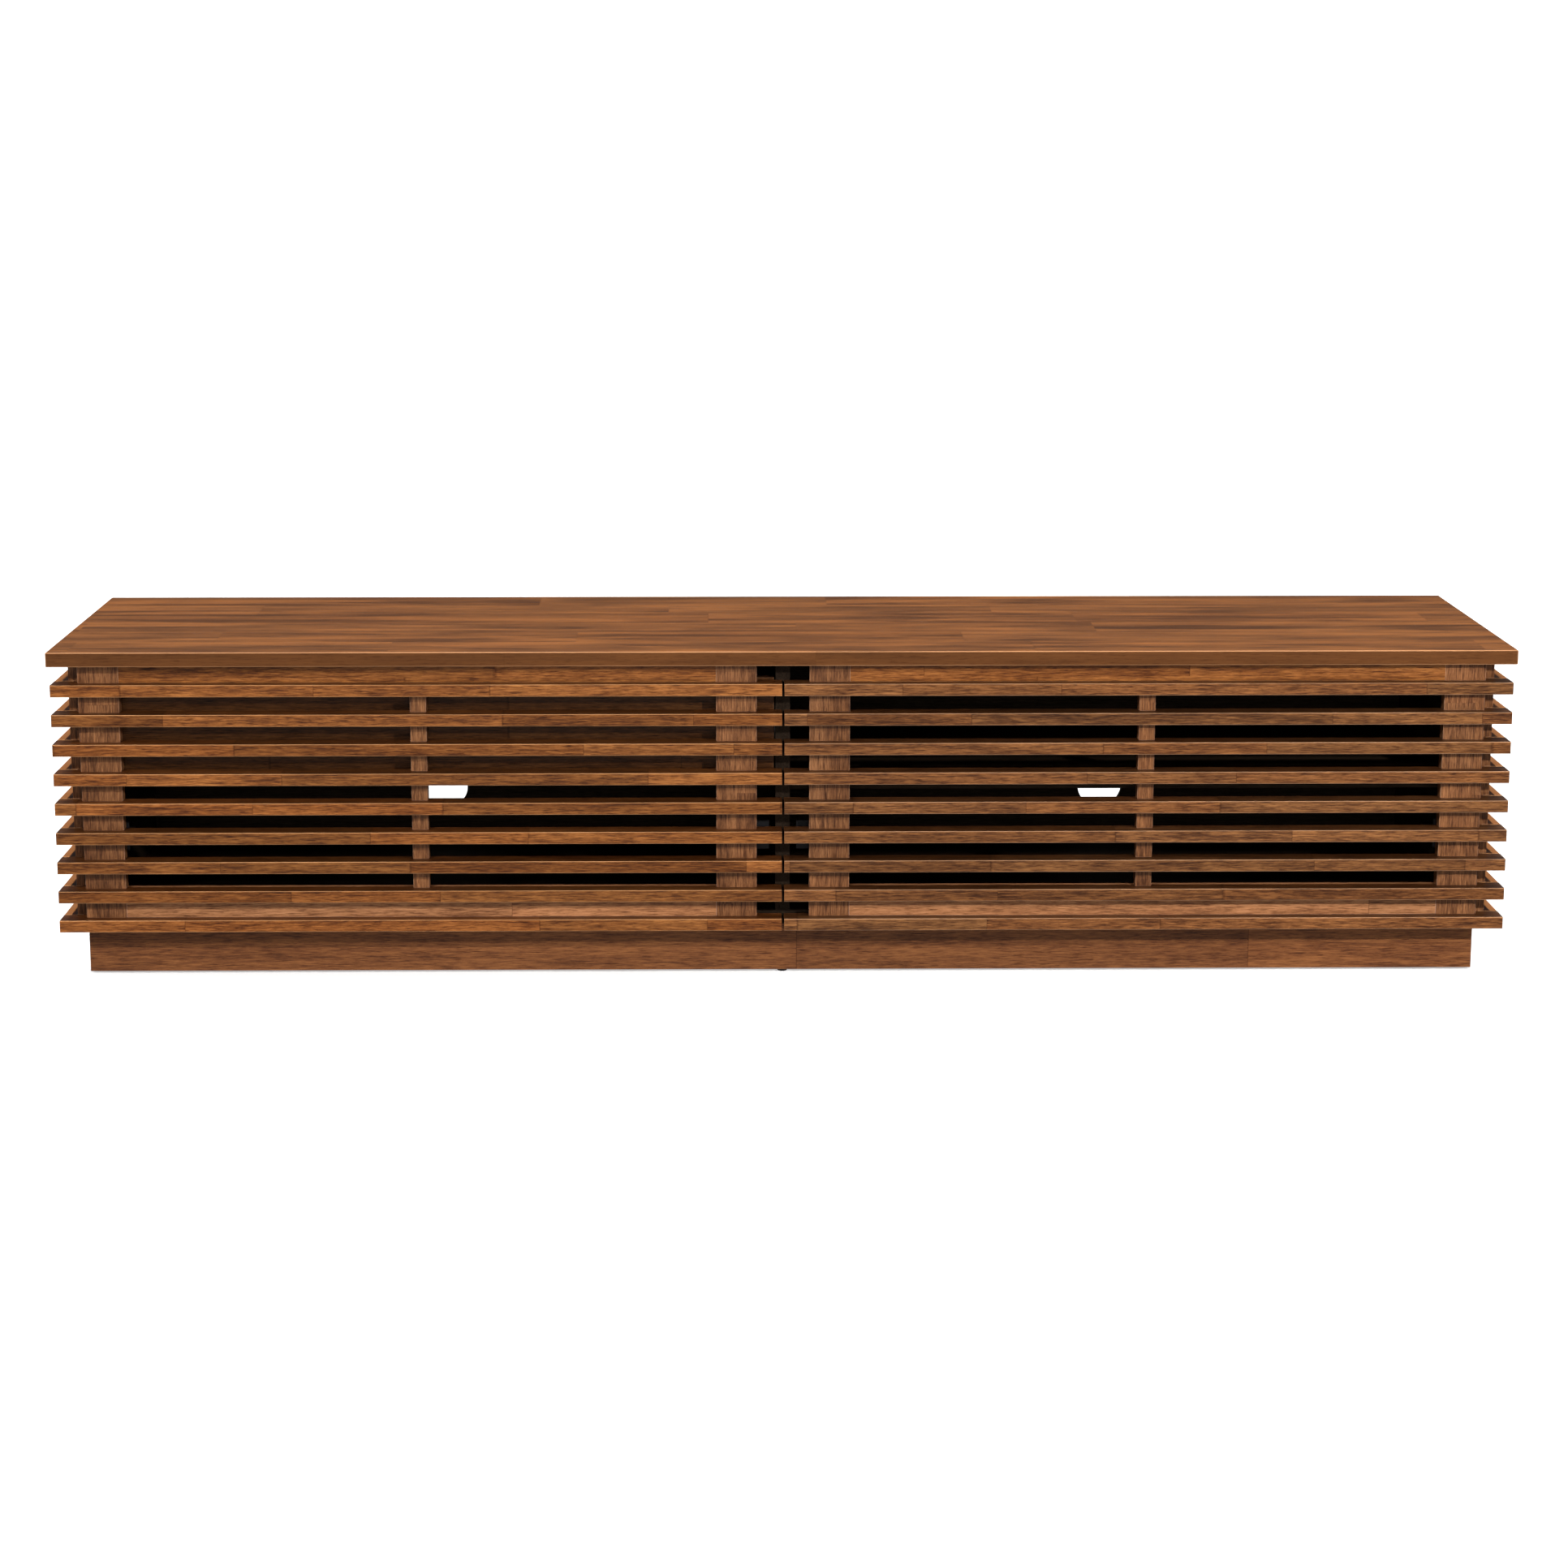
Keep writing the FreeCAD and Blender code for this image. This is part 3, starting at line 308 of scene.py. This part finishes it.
def steel(name, base=(0.50, 0.50, 0.52), rough=0.34):
    """Zinc-plated sheet steel with faint rolling marks and dull patches."""
    g = Graph(name)
    place = g.place()
    stretched = g.combine(
        *(g.math("MULTIPLY", place[axis], waves) for axis, waves in (("X", 90.0), ("Y", 900.0), ("Z", 900.0)))
    )
    line = g.noise(stretched, 1.0, 2.0)
    patch = g.noise(g.combine(place["X"], place["Y"], place["Z"]), 160.0, 3.0)
    dull, bright = tuple(0.82 * c for c in base), tuple(min(1.0, 1.12 * c) for c in base)
    colour = g.ramp(patch, ((0.3, dull), (0.7, bright)))
    g.bump(line, 0.00006, 0.5)
    return g.finish(colour, g.spread(line, 0.3, 0.7, rough - 0.06, rough + 0.1), metallic=1.0)


def powder_coat(name, base=(0.010, 0.010, 0.011)):
    """Black powder-coated steel: a dull skin with a fine orange-peel texture."""
    g = Graph(name)
    place = g.place()
    peel = g.noise(g.combine(place["X"], place["Y"], place["Z"]), 700.0, 2.0)
    cloud = g.noise(g.combine(place["X"], place["Y"], place["Z"]), 60.0, 2.0)
    colour = g.ramp(cloud, ((0.3, base), (0.7, tuple(1.5 * c for c in base))))
    g.bump(peel, 0.00005, 0.5)
    return g.finish(colour, g.spread(cloud, 0.3, 0.7, 0.42, 0.55), specular=0.35)


def plastic(name, base=(0.012, 0.012, 0.013)):
    """Moulded black plastic with a fine spark-eroded texture."""
    g = Graph(name)
    place = g.place()
    grit = g.noise(g.combine(place["X"], place["Y"], place["Z"]), 1400.0, 2.0)
    cloud = g.noise(g.combine(place["X"], place["Y"], place["Z"]), 90.0, 2.0)
    colour = g.ramp(cloud, ((0.3, base), (0.7, tuple(1.6 * c for c in base))))
    g.bump(grit, 0.00008, 0.6)
    return g.finish(colour, g.spread(cloud, 0.3, 0.7, 0.45, 0.6), specular=0.4)


def glowing_paint(name, near, far, start, end):
    """White studio paint whose own glow rises from near to far between two distances from the middle."""
    g = Graph(name)
    place = g.place()
    x, y = place["X"], place["Y"]
    away = g.math("SQRT", g.math("MULTIPLY_ADD", x, x, g.math("MULTIPLY", y, y)))
    g.shader.inputs["Emission Color"].default_value = (1.0, 1.0, 1.0, 1.0)
    g.feed(g.shader.inputs["Emission Strength"], g.spread(away, start, end, near, far))
    return g.finish((0.75, 0.75, 0.75, 1.0), 0.9, specular=0.0)


# ---------------------------------------------------------------- finishes of the CAD nodes


def dress(node, material):
    """Gives a CAD node one material."""
    for entry in NODES[node].material_slots:
        entry.material = material


def soften(node, width):
    """Takes the knife edge off a board, so that its arrises catch the light."""
    piece = NODES[node]
    weld = piece.modifiers.new("weld", "WELD")
    weld.merge_threshold = 0.00001
    bevel = piece.modifiers.new("arris", "BEVEL")
    bevel.width = width
    bevel.segments = 2
    bevel.limit_method = "ANGLE"
    bevel.angle_limit = math.radians(40)
    bevel.harden_normals = True


ARRIS = 0.0007
SLAT_PITCH = (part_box("left_flap_slat_1")[0][2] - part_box("left_flap_slat_9")[0][2]) / 8
SLAT_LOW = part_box("left_flap_slat_9")[0][2]
WHOLE = (10.0, 1.0)  # a stave so wide that it never splits a piece
STAVE_DROP = 0.011  # how far below its slat a stave starts, inside the gap
LIT_STRIP_WIDTH = 0.009  # the painted lit strip along the outer edge of the side slat tops, where no painted shade lies
DRAWER_WALL = 0.012
UPRIGHTS = [f"{word}_flap_{part}" for part in ("stiles", "mullion") for word in SIDES] + ["side_battens"]


def dress_slats():
    one_each = (WHOLE, (SLAT_PITCH, STAVE_DROP - SLAT_LOW))
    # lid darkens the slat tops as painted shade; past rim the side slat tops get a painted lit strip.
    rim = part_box("right_side_slats")[1][0] - LIT_STRIP_WIDTH
    # The slats' arrises are painted lighter: partly sanded stain, partly a painted highlight.
    look = {"pores": 0.8, "wear_and_highlight": 0.8}
    # The right flap's slats take the darker copy of the slat wood: a painted shade.
    for index, (word, palette) in enumerate(zip(SIDES, (SLAT, SHADED_SLAT))):
        slats = wood(f"{word}_slat_wood", "X", palette, one_each, 0.30, seed=3.0 + index, tone=0.24,
                     lid=0.7, **look)
        for number in range(1, 10):
            dress(f"{word}_flap_slat_{number}", slats)
        side = wood(f"{word}_side_slat_wood", "Y", SLAT, one_each, 0.30, seed=11.0 + index, tone=0.2,
                    lid=0.9, rim=rim, **look)
        dress(f"{word}_side_slats", side)


def dress_frames():
    upright = wood("upright_wood", "Z", UPRIGHT, ((0.057, 0.0), WHOLE), 0.16, seed=21.0, joint=0.15)
    for name in UPRIGHTS:
        dress(name, upright)
    rail = wood("rail_wood", "X", SLAT, (WHOLE, (0.20, 0.02)), 0.5, seed=31.0, tone=0.1)
    pale = wood("bottom_rail_wood", "X", PALE, (WHOLE, (0.20, 0.02)), 0.5, seed=37.0, tone=0.1)
    for word in SIDES:
        dress(f"{word}_flap_top_rail", rail)
        dress(f"{word}_flap_bottom_rail", pale)
    plinth = wood("plinth_wood", "X", RAIL, (WHOLE, (0.0605, 0.0)), 0.9, seed=41.0, tone=0.05, pores=0.3)
    dress("plinth_front", plinth)
    dress("plinth_rear", plinth)
    dress("plinth_ends", wood("plinth_end_wood", "Y", RAIL, (WHOLE, WHOLE), 0.8, seed=43.0, tone=0.05))


def dress_drawer_front():
    # The drawer front takes the darkened wood: a painted shade for the shade it sits in behind the slats.
    front = wood("drawer_front_shaded_wood", "X", SHADED_DRAWER, (WHOLE, (0.06, 0.0)), 0.6, seed=47.0, tone=0.07)
    dress("drawer_front", front)


def dress_top():
    # The top's arrises get the full amount: partly sanded stain, partly a painted highlight along the front
    # edge.
    top = wood("top_wood", "X", TOP, ((0.076, 0.0), WHOLE), 0.62, seed=53.0, tone=0.06, pores=0.3, gloss=0.5,
               coat=0.0, joint=0.12, specular=0.08, wear_and_highlight=1.0, flecks=0.3, calm=0.8, layers=TOP_GRAIN)
    dress("top_panel", top)


def dress_carcass():
    plain = {"tone": 0.05, "pores": 0.3, "joint": 0.0, "gloss": 0.7, "coat": 0.0, "specular": 0.06,
             "wear_and_highlight": 0.1, "flecks": 0.3}
    flat = wood("dark_board_flat", "X", DARK, (WHOLE, WHOLE), 3.0, seed=61.0, **plain)
    upright = wood("dark_board_upright", "Y", DARK, (WHOLE, WHOLE), 3.0, seed=67.0, **plain)
    for name in ("bottom_panel", "right_shelf", "back_panel"):
        dress(name, flat)
    for name in ("left_side_panel", "right_side_panel", "centre_partition"):
        dress(name, upright)


def dress_drawer():
    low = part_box("drawer_sides")[0]
    dress("drawer_sides", plywood("drawer_side_ply", "X", low[0], DRAWER_WALL))
    low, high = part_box("drawer_back")
    dress("drawer_back", plywood("drawer_back_ply", "Y", low[1], high[1] - low[1]))
    low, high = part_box("drawer_base")
    dress("drawer_base", plywood("drawer_base_ply", "Z", low[2], high[2] - low[2], 5))


def dress_metal():
    zinc = steel("zinc_steel")
    for name in (
        "hinge_cabinet_leaves", "hinge_pins", "left_flap_hinge_leaves", "right_flap_hinge_leaves",
        "left_flap_strike_plates", "right_flap_strike_plates", "slide_cabinet_members",
        "slide_middle_members", "slide_drawer_members", "shelf_pins",
    ):
        dress(name, zinc)
    coated = powder_coat("black_steel")
    for name in (
        "left_stay_arms", "right_stay_arms", "left_flap_stay_brackets", "right_flap_stay_brackets",
        "stay_studs",
    ):
        dress(name, coated)
    black = plastic("black_plastic")
    dress("magnetic_catches", black)
    dress("floor_glides", black)
    return zinc, coated


def soften_boards():
    boards = [
        "left_flap_top_rail", "left_flap_bottom_rail", "right_flap_top_rail", "right_flap_bottom_rail",
        "left_side_slats", "right_side_slats", "plinth_front", "plinth_rear", "plinth_ends", "bottom_panel",
        "left_side_panel", "right_side_panel", "centre_partition", "drawer_sides", "drawer_back",
    ]
    for name in UPRIGHTS + boards:
        soften(name, ARRIS)


# ---------------------------------------------------------------- small fittings

LEAF_WIDE = 0.060
LEAF_THICK = 0.0012
# The screws of a hinge leaf: how far along it from its middle, and how far down from its top, or for the
# cabinet's leaves how far up from the bottom panel's lower face.
FLAP_LEAF_SCREWS = ((-0.021, 0.012), (0.0, 0.007), (0.021, 0.012))
CABINET_LEAF_SCREWS = ((-0.021, 0.011), (0.021, 0.011))
# The feet of the stay brackets, inwards from the ends of their node, and their screws from mid height.
BRACKET_THICK = 0.002
OUTER_FOOT = 0.020
INNER_FOOT = 0.0345
FOOT_SCREW = 0.011
CATCH_WIDE = 0.046
STRIKE_SCREW = 0.015
STRIP_SIZE = (0.040, 0.0016, 0.0018)
STRIP_RISES = (0.0055, 0.0105)
STRIP_SUNK = 0.0005
BACK_INSET = 0.012
BACK_SCREW_COLUMNS = 9
BACK_SCREW_RISE = 0.10


def mesh_object(name, mesh):
    piece = bpy.data.objects.new(name, mesh)
    bpy.context.scene.collection.objects.link(piece)
    return piece


def lathe(bm, profile, count=24):
    """Turns a profile of (radius, height) points, from the rim to the axis, about Z and closes it below."""
    rings = []
    for radius, height in profile[:-1]:
        ring = []
        for i in range(count):
            angle = 2 * math.pi * i / count
            ring.append(bm.verts.new((radius * math.cos(angle), radius * math.sin(angle), height)))
        rings.append(ring)
    tip = bm.verts.new((0.0, 0.0, profile[-1][1]))
    bm.faces.new(list(reversed(rings[0])))
    for low, high in zip(rings, rings[1:]):
        for i in range(count):
            j = (i + 1) % count
            bm.faces.new((low[i], low[j], high[j], high[i]))
    for i in range(count):
        bm.faces.new((rings[-1][i], rings[-1][(i + 1) % count], tip))


def cross_cutter(bm, reach, half, low, high):
    """A prism whose outline is a cross, for the recess of a screw head."""
    outline = [(half, reach), (-half, reach), (-half, half), (-reach, half), (-reach, -half), (-half, -half),
               (-half, -reach), (half, -reach), (half, -half), (reach, -half), (reach, half), (half, half)]
    floor = [bm.verts.new((x * 0.7, y * 0.7, low)) for x, y in outline]
    lid = [bm.verts.new((x, y, high)) for x, y in outline]
    bm.faces.new(list(reversed(floor)))
    bm.faces.new(lid)
    for i in range(len(outline)):
        j = (i + 1) % len(outline)
        bm.faces.new((floor[i], floor[j], lid[j], lid[i]))


def screw_head(name, radius, tall, sunk):
    """A cross-recess screw head that points along +Z. The part below z = 0 sits in its hole."""
    head, cutter = bmesh.new(), bmesh.new()
    rim = [(radius * 0.55, -sunk), (radius, 0.0), (radius * 0.97, tall * 0.45), (radius * 0.8, tall * 0.8)]
    lathe(head, rim + [(radius * 0.45, tall * 0.97), (0.0, tall)])
    cross_cutter(cutter, radius * 0.58, radius * 0.13, tall - radius * 0.45, tall + radius)
    pieces = []
    for part, bm in (("head", head), ("cutter", cutter)):
        bmesh.ops.recalc_face_normals(bm, faces=bm.faces)
        mesh = bpy.data.meshes.new(f"{name}_{part}")
        bm.to_mesh(mesh)
        bm.free()
        pieces.append(mesh_object(f"{name}_{part}", mesh))
    recess = pieces[0].modifiers.new("recess", "BOOLEAN")
    recess.object = pieces[1]
    recess.solver = "EXACT"
    bpy.context.view_layer.update()
    graph = bpy.context.evaluated_depsgraph_get()
    result = bpy.data.meshes.new_from_object(pieces[0].evaluated_get(graph))
    for piece in pieces:
        bpy.data.objects.remove(piece)
    return result


def scatter(name, template, places, facing, body, material):
    """One piece made of copies of a small mesh, each at a place, with its +Z turned to face a direction."""
    turn = Vector(facing).to_track_quat("Z", "X").to_matrix().to_4x4()
    bm = bmesh.new()
    for number, place in enumerate(places):
        start = len(bm.verts)
        bm.from_mesh(template)
        bm.verts.ensure_lookup_table()
        spin = Matrix.Rotation(math.radians(37.0 * number), 4, "Z")
        bmesh.ops.transform(bm, matrix=Matrix.Translation(place) @ turn @ spin, verts=bm.verts[start:])
    mesh = bpy.data.meshes.new(name)
    bm.to_mesh(mesh)
    bm.free()
    mesh.materials.clear()
    mesh.materials.append(material)
    piece = mesh_object(name, mesh)
    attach(piece, body)
    return piece


def leaf_centres(node):
    low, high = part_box(node)
    first, last = low[0] + LEAF_WIDE / 2, high[0] - LEAF_WIDE / 2
    return first, (first + last) / 2, last


def add_hinge_screws(flat, zinc):
    """Countersunk screws in the hinge leaves: three in every flap leaf, staggered, and two in every other."""
    cabinet = []
    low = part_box("bottom_panel")[0]
    front = low[1] - LEAF_THICK
    for word in SIDES:
        node = f"{word}_flap_hinge_leaves"
        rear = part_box(f"{word}_flap_stiles")[1][1] + LEAF_THICK
        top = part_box(node)[1][2]
        door = []
        for centre in leaf_centres(node):
            door += [(centre + shift, rear, top - drop) for shift, drop in FLAP_LEAF_SCREWS]
            cabinet += [(centre + shift, front, low[2] + rise) for shift, rise in CABINET_LEAF_SCREWS]
        scatter(f"{word}_flap_hinge_screws", flat, door, (0, 1, 0), f"{word}_flap", zinc)
    scatter("cabinet_hinge_screws", flat, cabinet, (0, -1, 0), "cabinet", zinc)


def add_bracket_screws(pan, coated):
    """Two screws through the foot of every stay bracket into its stile."""
    for word, side in zip(SIDES, (-1, 1)):
        low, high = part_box(f"{word}_flap_stay_brackets")
        outer, inner = (low[0], high[0]) if side < 0 else (high[0], low[0])
        middle = (low[2] + high[2]) / 2
        rear = low[1] + BRACKET_THICK
        columns = (outer - side * OUTER_FOOT, inner + side * INNER_FOOT)
        places = [(x, rear, middle + dz) for x in columns for dz in (-FOOT_SCREW, FOOT_SCREW)]
        scatter(f"{word}_flap_bracket_screws", pan, places, (0, 1, 0), f"{word}_flap", coated)


def add_catch_details(flat, zinc):
    """Screws in the strike plates, and the two steel pole strips on the face of every magnetic catch."""
    strips = bmesh.new()
    size = Matrix.Diagonal((*STRIP_SIZE, 1.0))
    catch_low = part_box("magnetic_catches")[0]
    for word in SIDES:
        low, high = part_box(f"{word}_flap_strike_plates")
        centres = (low[0] + CATCH_WIDE / 2, high[0] - CATCH_WIDE / 2)
        height = (low[2] + high[2]) / 2
        places = [(x + dx, high[1], height) for x in centres for dx in (-STRIKE_SCREW, STRIKE_SCREW)]
        scatter(f"{word}_flap_strike_screws", flat, places, (0, 1, 0), f"{word}_flap", zinc)
        for x in centres:
            for rise in STRIP_RISES:
                box = bmesh.ops.create_cube(strips, size=1.0)["verts"]
                shift = Matrix.Translation((x, catch_low[1] + STRIP_SUNK, catch_low[2] + rise))
                bmesh.ops.transform(strips, matrix=shift @ size, verts=box)
    bmesh.ops.bevel(strips, geom=strips.edges[:], offset=0.00025, segments=2, affect="EDGES")
    mesh = bpy.data.meshes.new("catch_pole_strips")
    strips.to_mesh(mesh)
    strips.free()
    mesh.materials.append(zinc)
    piece = mesh_object("catch_pole_strips", mesh)
    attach(piece, "cabinet")


def add_back_screws(pan, zinc):
    """Screws round the edge of the back panel and up its middle, into the partition."""
    low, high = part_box("back_panel")
    wide = high[0] - low[0] - 2 * BACK_INSET
    spaces = BACK_SCREW_COLUMNS - 1
    columns = [low[0] + BACK_INSET + i * wide / spaces for i in range(BACK_SCREW_COLUMNS)]
    places = [(x, high[1], z) for x in columns for z in (low[2] + BACK_INSET, high[2] - BACK_INSET)]
    for z in (low[2] + BACK_SCREW_RISE, high[2] - BACK_SCREW_RISE):
        places += [(x, high[1], z) for x in (columns[0], columns[spaces // 2], columns[-1])]
    scatter("back_panel_screws", pan, places, (0, 1, 0), "cabinet", zinc)


def add_fittings(zinc, coated):
    flat = screw_head("countersunk", radius=0.0032, tall=0.00015, sunk=0.0009)
    pan = screw_head("pan", radius=0.0036, tall=0.0012, sunk=0.0005)
    add_hinge_screws(flat, zinc)
    add_bracket_screws(pan, coated)
    add_catch_details(flat, zinc)
    add_back_screws(pan, zinc)


# ---------------------------------------------------------------- studio


def make_stage(name, corners, faces, material):
    mesh = bpy.data.meshes.new(name)
    mesh.from_pydata(corners, [], faces)
    thing = bpy.data.objects.new(name, mesh)
    bpy.context.scene.collection.objects.link(thing)
    mesh.materials.append(material)
    return thing


def make_floor():
    """A round floor and a white wall round its rim. Only the camera sees them."""
    count, radius, tall = 96, 13.0, 9.0
    angles = [2 * math.pi * i / count for i in range(count)]
    circle = [(radius * math.cos(angle), radius * math.sin(angle)) for angle in angles]
    rim = [(x, y, 0.0) for x, y in circle]
    floor_paint = glowing_paint("studio_floor", near=0.45, far=1.0, start=1.0, end=4.5)
    floor = make_stage("studio_floor", rim, [tuple(range(count))], floor_paint)
    wall = [(x, y, z) for z in (0.0, tall) for x, y in circle]
    faces = [(i, (i + 1) % count, count + (i + 1) % count, count + i) for i in range(count)]
    wall_paint = glowing_paint("studio_backdrop", near=1.0, far=1.0, start=0.0, end=1.0)
    backdrop = make_stage("studio_backdrop", wall, faces, wall_paint)
    for thing in (floor, backdrop):
        for ray in ("diffuse", "glossy", "transmission", "shadow", "volume_scatter"):
            setattr(thing, f"visible_{ray}", False)


def make_light(name, at, towards, power, size, size_y=None, mirrored=True):
    """A disk of light, or a rectangle if it has a size_y. mirrored says whether glossy faces show it."""
    data = bpy.data.lights.new(name, "AREA")
    data.energy = power
    data.shape = "RECTANGLE" if size_y else "DISK"
    data.size = size
    data.size_y = size_y or size
    light = bpy.data.objects.new(name, data)
    bpy.context.scene.collection.objects.link(light)
    light.visible_glossy = mirrored
    light.location = at
    light.rotation_euler = (Vector(towards) - Vector(at)).to_track_quat("-Z", "Y").to_euler()


def make_world():
    """Light by height: a bright ceiling, dim walls, and a floor that throws light back."""
    world = bpy.data.worlds.new("studio")
    world.use_nodes = True
    tree = world.node_tree
    where = tree.nodes.new("ShaderNodeTexCoord")
    split = tree.nodes.new("ShaderNodeSeparateXYZ")
    tree.links.new(where.outputs["Generated"], split.inputs[0])
    height = tree.nodes.new("ShaderNodeMapRange")
    height.inputs["From Min"].default_value = -1.0
    tree.links.new(split.outputs["Z"], height.inputs["Value"])
    ramp = tree.nodes.new("ShaderNodeValToRGB")
    tree.links.new(height.outputs[0], ramp.inputs[0])
    levels = ((0.0, 0.30), (0.48, 0.30), (0.52, 0.08), (0.66, 0.10), (0.84, 0.50), (1.0, 0.62))
    elements = ramp.color_ramp.elements
    while len(elements) < len(levels):
        elements.new(0.5)
    for element, (at, level) in zip(elements, levels):
        element.position = at
        element.color = (level, level, level, 1.0)
    tree.links.new(ramp.outputs[0], tree.nodes["Background"].inputs["Color"])
    bpy.context.scene.world = world


def make_studio():
    scene = bpy.context.scene
    scene.view_settings.view_transform = "Standard"
    scene.view_settings.look = "None"
    make_world()
    make_light("right_key", (1.26, -1.79, 1.00), (0.2, 0.0, 0.25), 36.0, 0.09, mirrored=False)
    make_light("left_key", (-1.50, -2.10, 1.49), (-0.3, 0.0, 0.25), 44.0, 0.12, mirrored=False)
    make_light("front_fill", (0.0, -4.6, 0.55), (0.0, 0.0, 0.2), 50.0, 4.0, 1.0, mirrored=False)
    make_light("rear_fill", (0.0, 4.2, 1.3), (0.0, 0.0, 0.2), 90.0, 4.0, 1.0, mirrored=False)
    make_light("overhead", (0.0, 0.1, 2.6), (0.0, 0.0, 0.0), 26.0, 2.4, 0.5)
    for word, side in zip(SIDES, (-1, 1)):
        end = (side * 0.9, 0.0, 0.2)
        make_light(f"{word}_strip", (side * 1.95, 0.0, 2.9), end, 40.0, 1.2, 0.12)
        make_light(f"{word}_fill", (side * 4.5, 0.6, 0.8), end, 36.0, 2.0, 1.0, mirrored=False)


def make_camera():
    data = bpy.data.cameras.new("camera")
    data.sensor_width = 36.0
    data.lens = 76.22
    data.shift_x = 0.02
    data.shift_y = -0.0037
    data.clip_end = 60.0
    camera = bpy.data.objects.new("camera", data)
    bpy.context.scene.collection.objects.link(camera)
    camera.location = (-0.0831, -4.2303, 1.0756)
    pitch, yaw = math.radians(11.56), math.radians(0.65)
    camera.rotation_euler = (math.pi / 2 - pitch, 0.0, -yaw)
    bpy.context.scene.camera = camera


dress_slats()
dress_frames()
dress_drawer_front()
dress_top()
dress_carcass()
dress_drawer()
zinc_finish, coat_finish = dress_metal()
soften_boards()
add_fittings(zinc_finish, coat_finish)
make_floor()
make_studio()
make_camera()
